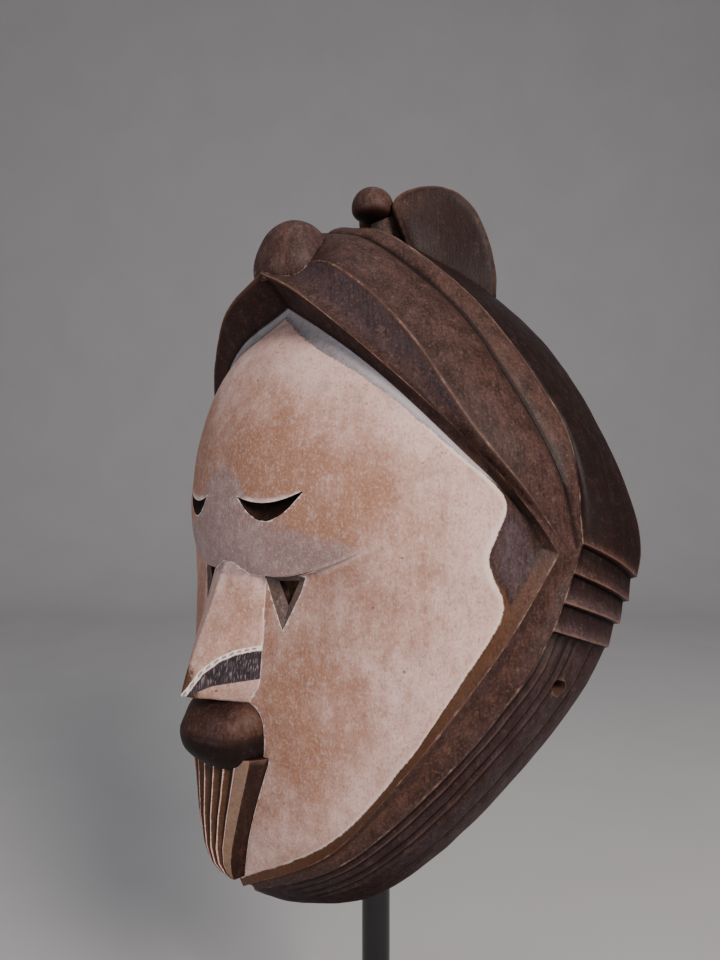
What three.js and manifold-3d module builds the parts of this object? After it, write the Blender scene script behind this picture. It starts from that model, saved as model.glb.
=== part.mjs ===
// A carved wooden face mask with a banded headdress, a crest and a fluted jaw band, on a steel stand.
// Millimetres. +x is the mask's left, -y is the way the face looks, +z is up.
// The origin is on the underside of the stand's base, under the axis of its rod.
import * as THREE from "three";
import { ConvexGeometry } from "three/addons/geometries/ConvexGeometry.js";
import { mergeVertices } from "three/addons/utils/BufferGeometryUtils.js";
import Module from "manifold-3d";

const wasm = await Module();
wasm.setup();

// Driving dimensions of the mask. Heights of the mask are counted from its lowest point, at the chin.
const RIM_HEIGHT = 260;
const RIM_HALF_WIDTH = 101;
const RIM_WIDEST_Z = 137;
const RIM_BACK_Y = 39;
const CHIN_BACK_Y = -35;
const RIM_SLANT_TOP_Z = 150;
const RIM_UPPER_ROUNDNESS = 1.5;
const RIM_LOWER_ROUNDNESS = 1.75;
const RIM_THICKNESS = 8.5;

// Driving dimensions of the stand.
const BASE_SIZE = [150, 140, 12];
const BASE_CORNER = 6;
const BASE_BEVEL = 1;
const MASK_GAP = 110;
const ROD_DIAMETER = 12;
const ROD_TOP_Z = 252.5;
const STRUT_DIAMETER = 8;
const STRUT_Z = 40;
const STRUT_END_Y = -57;
const CLEARANCE = 0.3;
const MASK_Z = BASE_SIZE[2] + MASK_GAP;

// Lines that the mask's form hangs on, each through one point on each of eleven sections.
// Section 0 is the midline above the face, 5 is at the ear and 10 is the midline under the chin.
// The midlines of the front and of the hollow are (y, z), and the others (x, y, z) on the left side.
const EAR = 5;
const CHIN = 10;
const FRONT = [[-47, 228], [-58.5, 215], [-66, 202], [-72.5, 184], [-75, 167], [-75.5, 146],
  [-74.3, 126], [-73, 103], [-72, 76], [-71, 42], [-67, 16.5]];
const HOLLOW = [[39, 251.5], [10, 255], [-24, 243], [-50, 213], [-62, 178], [-65, 146],
  [-64.5, 120], [-63.5, 92], [-62, 64], [-57, 35], [-34.6, 8.5]];
const FACE_EDGE = [[0, -47, 228], [27, -54, 213], [52, -47.5, 197.5], [74, -32.5, 175.5],
  [86, -19.8, 158.5], [84.7, -26, 139.4], [87, -22.5, 122], [79.2, -33.5, 100], [65, -46.3, 71.5],
  [42, -58, 42.5], [0, -67, 16.5]];
const WALL_FOOT = [[0, -45, 231.5], [28, -50.5, 218.5], [54.5, -44, 199], [77, -29.5, 173.5],
  [87.3, -14.8, 156.2], [91.5, -8, 143], [88, -21.5, 121], [80, -33.6, 99], [65.5, -47, 70.8],
  [42.5, -58.6, 41.8], [0, -67, 15.6]];
// The brim's lower edge, and below the ear the first ridge of the jaw band.
const BRIM = [[0, -59.5, 244], [25.5, -60.6, 231.5], [53.4, -49.4, 207.5], [77, -33, 181.5],
  [89.5, -18, 160.5], [95.9, -4, 141], [91, -20.5, 117.5], [82.5, -33.7, 96.5], [67, -48.5, 69],
  [43.5, -60, 39.5], [0, -66, 13]];
// The headdress's front line, and its groove. They end at the ear, on the jaw band's valley.
const HAIR_LINE = [[0, -42, 247.5], [32.9, -49.2, 240.3], [58, -40, 217], [79.5, -29, 182],
  [91, -14, 159.5]];
const HAIR_GROOVE = [[0, -27, 268], [30, -27, 256], [60, -12, 227], [82, -2.5, 191.5], [92.5, 2.6, 167]];
// The ridge behind the groove, and below the ear the second ridge of the jaw band.
const BACK_RIDGE = [[0, -18, 269], [31, -20, 257], [60, -4, 229], [82.5, 8.5, 192.5],
  [92, 9.8, 170], [97.5, 7, 143.5], [95.6, -7.5, 115.8], [89, -20.5, 95], [73, -40.5, 66],
  [45, -55.5, 35.5], [0, -61, 9.5]];
const RIM_Z = [260, 246, 216, 185, 160, 130, 106, 79.5, 52, 24, 0];
const VALLEY_SHARES = [0.33, 0.75];

// How far the surface stands out from the straight strip between two lines (negative is hollow).
const WALL_BOW = -1;
const HAIR_FRONT_BOW = -3;
const HAIR_ROLL_BOW = 2.5;
const HAIR_LINE_RISE = 0.8;
const HAIR_GROOVE_DEPTH = 1.8;
const BACK_RIDGE_RISE = 0.8;
const JAW_VALLEY_BOW = -1.5;
const DOME_BOW = 1.5;
const JAW_BOW = 2.5;

// Three stepped panels behind the ear, and the flutes of the jaw below them.
const PANELS = 3;
const PANEL_STEP = 2.4;
const LAST_STEP = 1.3;
const LAST_STEP_REACH = 0.5;
const FLUTES = [0.06, 0.16, 0.28, 0.39];
const FLUTE_DEPTH = 1.1;
const FLUTE_ENDS = [6.1, 9.8];
const BORDER_LINE = 0.71;

// The brow overhangs the eyes along a crease that rises towards the ears.
const CREASE_SECTION = EAR + 2 / PANELS;
const CREASE_INNER = [20, 131.3];
const CREASE_OUTER = [60.5, 143.8];
const CREASE_FULL_X = 34;
const CREASE_END_X = 66;
const CREASE_DEPTH = 6;
const CREASE_FADE = 45;
const CREASE_REACH = 1.6;
const CREASE_REACH_X = 24;
const BROW_TUCK = 3.5;
const BROW_TUCK_RISE = 24;
const SECTION_DROP = 19.5;

// The face bulges across like a part of an ellipse, in half turns: flat where it is narrow, and
// rounder by this much where its half width is full.
const FACE_BULGE = 0.17;
const FACE_BULGE_GAIN = 0.17;
const FACE_FULL_X = 84;

// The features of the face. Triangles are (x, z) on the left side.
const FACE_Y = -71;
const BURIED_Y = -65;
const NOSE_ROOT = [-74, 135];
const NOSE_TIP = [-91.5, 89];
const NOSE_ROOT_HALF_WIDTH = 17.5;
const NOSE_ROOT_SIDE_Y = -67.5;
const NOSE_WING_HALF_WIDTH = 18;
const NOSE_WING_Z = 95;
const NOSE_UNDERSIDE_Z = 85;
const LIPS = { at: [0, -71, 74.5], radii: [20.6, 17.6, 12.5], across: 2.2, front: 2.6, end: 4 };
const BUN = { at: [0, -42.6, 250], radii: [15, 15.2, 17.2], across: 2.1, front: 2.1, end: 2.1 };
const BUN_UNDERSIDE_Z = 241;
const BALL_SEGMENTS = 16;
const BEARD_LEVELS = [[18.5, 2.6, 0.8], [22, 4, 4.6], [27, 6.1, 8.2], [34, 9.1, 10.4], [45, 13.8, 11.4],
  [67, 22.6, 11.4]];
const BEARD_RIBS = [0, 0.275, 0.515, 0.7];
const BEARD_EDGE = 0.9;
const BEARD_FLUTE_DEPTH = 1.3;
const EYE_BEVEL = [[19.8, -66.7, 130.1], [38.5, -62.8, 134], [26.8, -66.3, 114.2]];
const EYE_HOLE = [[21.8, -64.3, 129.6], [31.7, -62.5, 130.5], [26.7, -63.8, 121.3]];
const EYE_OPENING = 1.8;
const SICKLE_AT = [24.6, -71, 160.2];
const SICKLE_LENGTH = 28;
const SICKLE_TOP = 3;
const SICKLE_BOTTOM = 9;
const SICKLE_DEPTH = 3.2;
const SICKLE_TURN = 0.25;
const TIE_SECTION = 6.62;
const TIE_SHARE = 0.47;
const TIE_DIAMETER = 5.5;

// The crest's flaps, in their own plane: (distance back from the crest's front, height). A knot on a
// narrower neck stands in front of them.
const CREST_FRONT_Y = -2.5;
const FLAP_ANGLE = 0.87;
const FLAP_THICKNESS = 15;
const FLAP_EDGE = 4;
const FLAP_FOOT = [[17, 254.5], [24, 252.5], [52.5, 238]];
const FLAP_TOP = [[15.5, 261], [8, 281], [10.5, 285], [16, 288], [26, 289.5], [37, 286], [45, 277.5],
  [50.5, 264], [53, 250]];
const KNOT = { at: [0, -1.7, 279.5], radii: [8.9, 8.9, 11.3], across: 2.2, front: 2.2, end: 2.2 };
const KNOT_UNDERSIDE_Z = 276.8;
const NECK = [[0, 7, 4.5, 258], [0, 6.5, 5, 267], [0, 4, 6.3, 279]];
const NECK_SIDES = 8;

// The mesh: rows to a section, columns across half the face and half the hollow, and how far each side
// of a ledge its two rows lie.
const ROWS = 4;
const FACE_COLUMNS = 11;
const HOLLOW_COLUMNS = 5;
const STEP_ROW = 0.025;
const ROUND = 20;

const lerp = (a, b, t) => a.map((v, i) => v + (b[i] - v) * t);
const clamp01 = (t) => Math.min(1, Math.max(0, t));
const smooth = (t) => clamp01(t) ** 2 * (3 - 2 * clamp01(t));
const minus = (a, b) => a.map((v, i) => v - b[i]);

// A point on a line at section s, by cubics that keep the line smooth. A line may bend at the ear.
function along(line, s, bendsAtEar = false) {
  const last = line.length - 1;
  const upper = s <= EAR;
  const low = bendsAtEar && !upper ? EAR : 0;
  const high = bendsAtEar && upper ? EAR : last;
  const i = Math.min(high - 1, Math.max(low, Math.floor(s)));
  const t = s - i;
  const slope = (k) => {
    const [a, b] = [Math.max(low, k - 1), Math.min(high, k + 1)];
    return minus(line[b], line[a]).map((v) => v / (b - a));
  };
  const [m0, m1] = [slope(i), slope(i + 1)];
  return line[i].map(
    (v, k) =>
      (2 * t ** 3 - 3 * t ** 2 + 1) * v +
      (t ** 3 - 2 * t ** 2 + t) * m0[k] +
      (3 * t ** 2 - 2 * t ** 3) * line[i + 1][k] +
      (t ** 3 - t ** 2) * m1[k],
  );
}

// The rim's outer edge: an egg-shaped outline, upright at the back of the head and slanting forward
// to the chin.
const rimY = (z) => CHIN_BACK_Y + (RIM_BACK_Y - CHIN_BACK_Y) * smooth(z / RIM_SLANT_TOP_Z);
const rimZs = RIM_Z.map((z) => [z]);

function rimPoint(s, inset = 0) {
  const [z0] = along(rimZs, s);
  const up = z0 > RIM_WIDEST_Z;
  const roundness = up ? RIM_UPPER_ROUNDNESS : RIM_LOWER_ROUNDNESS;
  const tall = up ? RIM_HEIGHT - RIM_WIDEST_Z : RIM_WIDEST_Z;
  const rise = Math.min(1, Math.abs(z0 - RIM_WIDEST_Z) / tall);
  const x0 = RIM_HALF_WIDTH * (1 - rise ** roundness) ** (1 / roundness);
  const towardsAxis = 1 - inset / Math.hypot(x0, z0 - RIM_WIDEST_Z);
  const z = RIM_WIDEST_Z + (z0 - RIM_WIDEST_Z) * towardsAxis;
  return [x0 * towardsAxis, rimY(z), z];
}

// The lines of the band between the face and the rim, at section s.
const valleyAt = (share) => lerp(BRIM[EAR], BACK_RIDGE[EAR], share);
const hairLine = [...HAIR_LINE, valleyAt(VALLEY_SHARES[0])];
const hairGroove = [...HAIR_GROOVE, valleyAt(VALLEY_SHARES[1])];

function bandLines(s) {
  const brim = along(BRIM, s, true);
  const ridge = along(BACK_RIDGE, s, true);
  const onHair = s <= EAR;
  return {
    edge: along(FACE_EDGE, s),
    foot: along(WALL_FOOT, s, true),
    brim,
    line: onHair ? along(hairLine, s) : lerp(brim, ridge, VALLEY_SHARES[0]),
    groove: onHair ? along(hairGroove, s) : lerp(brim, ridge, VALLEY_SHARES[1]),
    ridge,
    rim: rimPoint(s),
  };
}

// The way out of the strip from a to b: square to it and to the lines that it lies between.
function outward(a, b, s, line) {
  const step = 0.05;
  const [s0, s1] = [Math.max(0, s - step), Math.min(CHIN, s + step)];
  const down = new THREE.Vector3(...minus(line(s1), line(s0)));
  const back = new THREE.Vector3(...minus(b, a));
  return down.cross(back).normalize().toArray();
}

const bowed = (a, b, t, height, out) => lerp(a, b, t).map((v, i) => v + height * out[i]);

// The panels' steps: the surface drops at each ledge and rises again to the next. Below the last one
// it drops once more, to the flutes.
const panelDrop = (s) => {
  if (s < EAR) return 0;
  if (s < EAR + 1) return PANEL_STEP * (1 - (((s - EAR) * PANELS) % 1));
  return LAST_STEP * Math.max(0, 1 - (s - EAR - 1) / LAST_STEP_REACH);
};

// The columns behind the ridge: one at the bottom of each flute, and one between each two.
const BACK_SHARES = FLUTES.flatMap((t, i) => [t, (t + (FLUTES[i + 1] ?? 2 * t - FLUTES[i - 1])) / 2]);
BACK_SHARES.push(0.58, BORDER_LINE, 0.86, 1);

function bandRow(s) {
  const l = bandLines(s);
  const hair = 1 - smooth(s / EAR);
  const jaw = smooth((s - EAR) * 2);
  const brimOut = outward(l.brim, l.ridge, s, (q) => along(BRIM, q, true));
  const rimOut = outward(l.ridge, l.rim, s, (q) => bandLines(q).ridge);
  const wallOut = outward(l.foot, l.brim, s, (q) => along(BRIM, q, true));
  const row = [l.edge, l.foot];
  row.push(bowed(l.foot, l.brim, 0.5, WALL_BOW * hair, wallOut), l.brim);
  const valley = (share) => JAW_VALLEY_BOW * Math.sin(Math.PI * share) * jaw;
  const lineAt = VALLEY_SHARES[0];
  const grooveAt = VALLEY_SHARES[1];
  // The front strip is flat where the bun sits on it.
  const frontBow = HAIR_FRONT_BOW * smooth((s + 0.2) / 1.2);
  row.push(bowed(l.brim, l.line, 0.5, frontBow * hair + valley(lineAt / 2), brimOut));
  row.push(bowed(l.line, l.line, 0, HAIR_LINE_RISE * hair + valley(lineAt), brimOut));
  for (const t of [0.3, 0.7]) {
    const share = lineAt + (grooveAt - lineAt) * t;
    const height = HAIR_ROLL_BOW * Math.sin(Math.PI * t) * hair + valley(share);
    row.push(bowed(l.line, l.groove, t, height, brimOut));
  }
  row.push(bowed(l.groove, l.groove, 0, valley(grooveAt) - HAIR_GROOVE_DEPTH * hair, brimOut));
  row.push(bowed(l.ridge, l.ridge, 0, BACK_RIDGE_RISE * hair, brimOut));
  const fluting = smooth((s - FLUTE_ENDS[0]) * 4) * smooth((FLUTE_ENDS[1] - s) * 1.5);
  const bow = DOME_BOW * (1 - smooth((s - 3) / 2)) + JAW_BOW * smooth((s - 3) / 2);
  for (const t of BACK_SHARES) {
    let height = bow * Math.sin(Math.PI * t) - panelDrop(s);
    if (FLUTES.includes(t) || t === BORDER_LINE) height -= FLUTE_DEPTH * fluting;
    row.push(bowed(l.ridge, l.rim, t, height, rimOut));
  }
  return row;
}

// The height of the brow's crease at a distance from the midline.
function creaseZ(x) {
  const share = Math.max(0, (x - CREASE_INNER[0]) / (CREASE_OUTER[0] - CREASE_INNER[0]));
  return CREASE_INNER[1] + (CREASE_OUTER[1] - CREASE_INNER[1]) * share ** 2;
}

// A point of the face's plain form, a share of the way from the midline to the face's edge.
function facePoint(s, share) {
  const mid = [0, ...along(FRONT, s)];
  const edge = along(FACE_EDGE, s);
  const span = Math.PI * (FACE_BULGE + FACE_BULGE_GAIN * Math.min(1, edge[0] / FACE_FULL_X));
  const across = Math.sin(span * share) / Math.sin(span);
  const deep = (1 - Math.cos(span * share)) / (1 - Math.cos(span));
  return [edge[0] * across, mid[1] + (edge[1] - mid[1]) * deep, mid[2] + (edge[2] - mid[2]) * deep];
}

// Half a row of the face. Rows near the crease are bent to run along it.
function faceRow(s) {
  const row = [];
  for (let i = 0; i < FACE_COLUMNS; i++) {
    const share = i / FACE_COLUMNS;
    const [x0, , z0] = facePoint(CREASE_SECTION, share);
    const nearRow = Math.max(0, 1 - Math.abs(s - CREASE_SECTION) / CREASE_REACH);
    const nearMiddle = 1 - smooth((x0 - CREASE_OUTER[0]) / CREASE_REACH_X);
    const bent = s - (nearRow * nearMiddle * (creaseZ(x0) - z0)) / SECTION_DROP;
    const p = facePoint(bent, share);
    const above = p[2] - creaseZ(p[0]);
    const tuck = BROW_TUCK * clamp01(1 - above / BROW_TUCK_RISE) ** 2;
    const recess = CREASE_DEPTH * clamp01(1 + above / CREASE_FADE);
    const fade = 1 - smooth((p[0] - CREASE_FULL_X) / (CREASE_END_X - CREASE_FULL_X));
    row.push([p[0], p[1] + (s > CREASE_SECTION ? recess : tuck) * fade, p[2]]);
  }
  return row;
}

// Half a row of the hollow, from the midline to the rim's inner edge.
function hollowRow(s) {
  const mid = along(HOLLOW, s);
  const edge = rimPoint(s, RIM_THICKNESS);
  const row = [];
  for (let i = 0; i <= HOLLOW_COLUMNS; i++) {
    const angle = (Math.PI / 2) * (i / HOLLOW_COLUMNS);
    const deep = i === HOLLOW_COLUMNS ? 0 : Math.cos(angle);
    row.push([
      edge[0] * Math.sin(angle),
      edge[1] + (mid[0] - edge[1]) * deep,
      edge[2] + (mid[1] - edge[2]) * deep,
    ]);
  }
  return row;
}

// All the rows' sections: evenly spaced, with two close together at each step.
function sections() {
  const list = [];
  for (let i = 0; i <= CHIN * ROWS; i++) {
    const s = i / ROWS;
    if (s < EAR || s > EAR + 1) list.push(s);
  }
  for (let i = 0; i <= PANELS; i++) {
    const ledge = EAR + i / PANELS;
    list.push(ledge - STEP_ROW, ledge + STEP_ROW);
    if (i < PANELS) list.push(ledge + 0.5 / PANELS);
  }
  return list.sort((a, b) => a - b);
}

// A closed solid from triangles given as points.
function solidFromTriangles(triangles) {
  const geometry = new THREE.BufferGeometry();
  geometry.setAttribute("position", new THREE.Float32BufferAttribute(triangles.flat(2), 3));
  return solid(geometry);
}

function solid(geometry) {
  const bare = geometry.index ? geometry.toNonIndexed() : geometry.clone();
  bare.deleteAttribute("normal");
  bare.deleteAttribute("uv");
  const merged = mergeVertices(bare, 1e-4);
  const index = merged.index.array;
  const kept = [];
  for (let i = 0; i < index.length; i += 3) {
    const [a, b, c] = [index[i], index[i + 1], index[i + 2]];
    if (a !== b && b !== c && c !== a) kept.push(a, b, c);
  }
  return new wasm.Manifold(
    new wasm.Mesh({
      numProp: 3,
      vertProperties: new Float32Array(merged.attributes.position.array),
      triVerts: new Uint32Array(kept),
    }),
  );
}

function geometryOf(made) {
  const mesh = made.getMesh();
  const geometry = new THREE.BufferGeometry();
  geometry.setAttribute("position", new THREE.BufferAttribute(mesh.vertProperties, 3));
  geometry.setIndex(new THREE.BufferAttribute(mesh.triVerts, 1));
  geometry.computeVertexNormals();
  return geometry;
}

const mirrored = ([x, y, z]) => [x === 0 ? 0 : -x, y, z];

// The mask's shell: face, band, rim and hollow as one closed surface, the same on both sides.
function shell() {
  const triangles = [];
  const onMidline = (row) => row.map(([, y, z]) => [0, y, z]);
  const rows = sections().map((s) => {
    const loop = [...faceRow(s), ...bandRow(s), ...hollowRow(s).reverse()];
    return s === 0 || s === CHIN ? onMidline(loop) : loop;
  });
  const quad = (a, b, c, d) => {
    for (const t of [[a, b, c], [a, c, d]]) {
      triangles.push(t, [mirrored(t[0]), mirrored(t[2]), mirrored(t[1])]);
    }
  };
  for (let r = 0; r + 1 < rows.length; r++) {
    for (let c = 0; c + 1 < rows[r].length; c++) {
      quad(rows[r][c], rows[r + 1][c], rows[r + 1][c + 1], rows[r][c + 1]);
    }
  }
  return solidFromTriangles(triangles);
}

// A closed solid through rings of points, each end closed by a fan about its ring's centre.
function loft(rings) {
  const triangles = [];
  const count = rings[0].length;
  for (let r = 0; r + 1 < rings.length; r++) {
    for (let i = 0; i < count; i++) {
      const j = (i + 1) % count;
      triangles.push([rings[r][i], rings[r][j], rings[r + 1][j]]);
      triangles.push([rings[r][i], rings[r + 1][j], rings[r + 1][i]]);
    }
  }
  const centre = (ring) => [0, 1, 2].map((k) => ring.reduce((sum, p) => sum + p[k], 0) / count);
  const [first, last] = [rings[0], rings.at(-1)];
  for (let i = 0; i < count; i++) {
    const j = (i + 1) % count;
    triangles.push([centre(first), first[j], first[i]]);
    triangles.push([centre(last), last[i], last[j]]);
  }
  return solidFromTriangles(triangles);
}

const hull = (points) => solid(new ConvexGeometry(points.map((p) => new THREE.Vector3(...p))));
const bothSides = (points) => points.flatMap((p) => [p, mirrored(p)]);

// The nose: a plain wedge from the brow to its tip, with a slanted underside.
function nose() {
  return hull([
    [0, NOSE_ROOT[0], NOSE_ROOT[1]],
    [0, NOSE_TIP[0], NOSE_TIP[1]],
    ...bothSides([
      [NOSE_ROOT_HALF_WIDTH, NOSE_ROOT_SIDE_Y, NOSE_ROOT[1] - 2],
      [NOSE_WING_HALF_WIDTH, FACE_Y, NOSE_WING_Z],
      [NOSE_ROOT_HALF_WIDTH, BURIED_Y, NOSE_ROOT[1]],
      [NOSE_WING_HALF_WIDTH, BURIED_Y, NOSE_UNDERSIDE_Z],
      [3, FACE_Y - 4, NOSE_UNDERSIDE_Z],
    ]),
  ]);
}

// A ball squared off and scaled, for the lips, the bun and the crest's knot. A higher number is squarer:
// across it, and for its profile at the front and at its ends.
function cushion({ at, radii, across, front, end }) {
  const ball = new THREE.SphereGeometry(1, BALL_SEGMENTS, BALL_SEGMENTS / 2);
  ball.rotateX(Math.PI / 2);
  const points = ball.attributes.position;
  const power = (v, squareness) => Math.sign(v) * Math.abs(v) ** (2 / squareness);
  for (let i = 0; i < points.count; i++) {
    const [x, y, z] = new THREE.Vector3().fromBufferAttribute(points, i).toArray();
    const out = Math.hypot(x, y);
    const squareness = front + (end - front) * (out > 0 ? (x / out) ** 2 : 0);
    const reach = power(out, squareness);
    const flat = out > 1e-6 ? [power(x / out, across), power(y / out, across)] : [0, 0];
    points.setXYZ(i, reach * flat[0], reach * flat[1], power(z, squareness));
  }
  ball.scale(...radii);
  ball.translate(...at);
  return solid(ball);
}

// The beard: round in front, narrower downwards, with flutes between its ribs and a bevel on each side.
function beard() {
  const rings = BEARD_LEVELS.map(([z, halfWidth, bulge]) => {
    const at = (share, depth) => [share * halfWidth, FACE_Y - bulge * Math.sqrt(1 - share ** 2) + depth, z];
    const deep = Math.min(BEARD_FLUTE_DEPTH, bulge / 4);
    const left = [at(0, 0)];
    for (let i = 1; i < BEARD_RIBS.length; i++) {
      left.push(at((BEARD_RIBS[i - 1] + BEARD_RIBS[i]) / 2, deep), at(BEARD_RIBS[i], 0));
    }
    left.push(at(BEARD_EDGE, 0), [halfWidth, FACE_Y, z], [halfWidth, BURIED_Y, z]);
    return [...left.slice(1).reverse().map(mirrored), ...left];
  });
  return loft(rings);
}

// The knot in front of the crest: a cap, flat below, on its neck.
function knot() {
  const cap = cushion(KNOT).subtract(below(KNOT_UNDERSIDE_Z));
  const neck = NECK.map(([x, y, r, z]) => {
    const turns = Array.from({ length: NECK_SIDES }, (_, i) => (2 * Math.PI * i) / NECK_SIDES);
    return turns.map((a) => [x + r * Math.cos(a), y + r * Math.sin(a), z]);
  });
  return cap.add(loft(neck));
}

// One flap of the crest: a rounded fan on edge, running back and outwards from the knot.
function flap(side) {
  const outline = new THREE.Shape();
  outline.moveTo(...FLAP_FOOT[0]);
  outline.lineTo(...FLAP_TOP[0]);
  outline.splineThru(FLAP_TOP.slice(1).map((p) => new THREE.Vector2(...p)));
  outline.lineTo(...FLAP_FOOT[2]);
  outline.lineTo(...FLAP_FOOT[1]);
  const plate = new THREE.ExtrudeGeometry(outline, {
    depth: FLAP_THICKNESS - 2 * FLAP_EDGE,
    bevelThickness: FLAP_EDGE,
    bevelSize: FLAP_EDGE,
    bevelOffset: -FLAP_EDGE,
    bevelSegments: 2,
    curveSegments: 2,
  });
  plate.translate(0, 0, -FLAP_THICKNESS / 2 + FLAP_EDGE);
  plate.rotateX(Math.PI / 2);
  plate.rotateZ(side > 0 ? FLAP_ANGLE : Math.PI - FLAP_ANGLE);
  plate.translate(0, CREST_FRONT_Y, 0);
  return solid(plate);
}

// An eye's opening: a shallow triangular bevel that leads to a smaller triangular hole.
function eyeCut(turn) {
  const wide = EYE_BEVEL.map((p, i) => turn(lerp(EYE_HOLE[i], p, EYE_OPENING)));
  const bored = [FACE_Y - 3, BURIED_Y + 15].flatMap((y) => EYE_HOLE.map(([x, , z]) => turn([x, y, z])));
  return hull([...wide, ...EYE_HOLE.map(turn)]).add(hull(bored));
}

// The sickle-shaped hollow over each eye.
function sickleCut(side) {
  const [inner, outer] = [-SICKLE_LENGTH / 2, SICKLE_LENGTH / 2];
  const outline = new THREE.Shape();
  outline.moveTo(inner, 0);
  outline.quadraticCurveTo(0, -2 * SICKLE_BOTTOM, outer, 0);
  outline.quadraticCurveTo(0, -2 * SICKLE_TOP, inner, 0);
  const cut = new THREE.ExtrudeGeometry(outline, { depth: 20, bevelEnabled: false, curveSegments: 5 });
  cut.translate(0, 0, -SICKLE_DEPTH);
  cut.rotateX(Math.PI / 2);
  cut.rotateZ(side * SICKLE_TURN);
  cut.translate(side * SICKLE_AT[0], SICKLE_AT[1], SICKLE_AT[2]);
  return solid(cut);
}

// The bore behind the jaw that the mask is tied by.
function tieBore(side) {
  const l = bandLines(TIE_SECTION);
  const out = outward(l.ridge, l.rim, TIE_SECTION, (q) => bandLines(q).ridge);
  const bore = new THREE.CylinderGeometry(TIE_DIAMETER / 2, TIE_DIAMETER / 2, 40, 20);
  bore.applyQuaternion(
    new THREE.Quaternion().setFromUnitVectors(new THREE.Vector3(0, 1, 0), new THREE.Vector3(...out)),
  );
  bore.translate(...lerp(l.ridge, l.rim, TIE_SHARE));
  if (side > 0) return solid(bore);
  const points = bore.toNonIndexed().attributes.position;
  const triangles = [];
  for (let i = 0; i < points.count; i += 3) {
    const corner = (k) => mirrored(new THREE.Vector3().fromBufferAttribute(points, i + k).toArray());
    triangles.push([corner(0), corner(2), corner(1)]);
  }
  return solidFromTriangles(triangles);
}

// All that lies behind an upright plane at y, and below a level.
const behind = (y) => solid(new THREE.BoxGeometry(300, 200, 700).translate(0, y + 100, 150));
const below = (z) => solid(new THREE.BoxGeometry(300, 300, 200).translate(0, 0, z - 100));

function carvedMask() {
  let made = shell();
  const lips = cushion(LIPS).subtract(behind(BURIED_Y));
  const bun = cushion(BUN).subtract(below(BUN_UNDERSIDE_Z));
  for (const piece of [nose(), lips, bun, beard(), knot(), flap(1), flap(-1)]) {
    made = made.add(piece);
  }
  const cuts = [behind(RIM_BACK_Y), eyeCut((p) => p), eyeCut(mirrored)];
  cuts.push(sickleCut(1), sickleCut(-1), tieBore(1), tieBore(-1));
  for (const cut of cuts) made = made.subtract(cut);
  return made;
}

// The rod rises into the hollow and carries the mask at the top. Its strut steadies the chin.
function rod() {
  const height = MASK_GAP + ROD_TOP_Z - ROD_DIAMETER / 2;
  const bar = new THREE.CapsuleGeometry(ROD_DIAMETER / 2, height, 5, ROUND);
  bar.rotateX(Math.PI / 2);
  bar.translate(0, 0, height / 2);
  const foot = new THREE.BoxGeometry(50, 50, 50).translate(0, 0, CLEARANCE - 25);
  const strut = new THREE.CylinderGeometry(STRUT_DIAMETER / 2, STRUT_DIAMETER / 2, -STRUT_END_Y, ROUND / 2);
  strut.translate(0, STRUT_END_Y / 2, STRUT_Z + MASK_GAP);
  return solid(bar).subtract(solid(foot)).add(solid(strut));
}

// The base: a flat steel plate with rounded corners and a small bevel round its top and its foot.
function base() {
  const [long, wide, thick] = BASE_SIZE;
  const outline = new THREE.Shape();
  const [x, y, r] = [long / 2, wide / 2, BASE_CORNER];
  outline.absarc(x - r, y - r, r, 0, Math.PI / 2);
  outline.absarc(r - x, y - r, r, Math.PI / 2, Math.PI);
  outline.absarc(r - x, r - y, r, Math.PI, 1.5 * Math.PI);
  outline.absarc(x - r, r - y, r, 1.5 * Math.PI, 2 * Math.PI);
  const plate = new THREE.ExtrudeGeometry(outline, {
    depth: thick - 2 * BASE_BEVEL,
    bevelThickness: BASE_BEVEL,
    bevelSize: BASE_BEVEL,
    bevelOffset: -BASE_BEVEL,
    bevelSegments: 1,
    curveSegments: 4,
  });
  return solid(plate.translate(0, 0, BASE_BEVEL));
}

function part(name, made, material, z = 0) {
  const mesh = new THREE.Mesh(geometryOf(made), material);
  mesh.name = name;
  mesh.position.z = z;
  return mesh;
}

const paintedWood = new THREE.MeshStandardMaterial({ color: 0xc9ab92, roughness: 0.7 });
const blackSteel = new THREE.MeshStandardMaterial({ color: 0x17181a, roughness: 0.35, metalness: 0.6 });

const group = new THREE.Group();
group.add(part("mask", carvedMask(), paintedWood, MASK_Z));
group.add(part("stand_rod", rod(), blackSteel, BASE_SIZE[2]));
group.add(part("stand_base", base(), blackSteel));

export default group;
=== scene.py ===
# A carved wooden face mask on a steel display stand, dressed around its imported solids.
# The row's frame is in metres. The mask's own forms are worked out in millimetres, from its chin
# upwards: +x is the mask's left, -y is the way the face looks, and y is 0 on the rod's axis.
import math
import bmesh
import bpy
import numpy as np
from mathutils import Matrix, Vector, bvhtree, noise


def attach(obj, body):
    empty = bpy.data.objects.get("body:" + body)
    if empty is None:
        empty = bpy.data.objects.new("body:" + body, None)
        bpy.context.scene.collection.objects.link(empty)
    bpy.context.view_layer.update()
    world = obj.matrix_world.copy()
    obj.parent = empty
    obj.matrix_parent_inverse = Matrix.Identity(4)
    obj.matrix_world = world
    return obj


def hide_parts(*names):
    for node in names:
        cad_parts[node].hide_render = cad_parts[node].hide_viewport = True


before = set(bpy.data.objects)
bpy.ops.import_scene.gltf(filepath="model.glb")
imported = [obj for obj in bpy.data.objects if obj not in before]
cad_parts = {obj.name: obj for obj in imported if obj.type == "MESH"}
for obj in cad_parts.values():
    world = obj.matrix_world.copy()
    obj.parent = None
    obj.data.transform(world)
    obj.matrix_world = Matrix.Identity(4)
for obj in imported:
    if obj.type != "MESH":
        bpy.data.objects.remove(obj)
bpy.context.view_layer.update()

MM = 0.001
PER_METRE = (1000, 1000, 1000)
MASK_Z = 122
BEVEL_ANGLE = math.radians(50)

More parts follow.
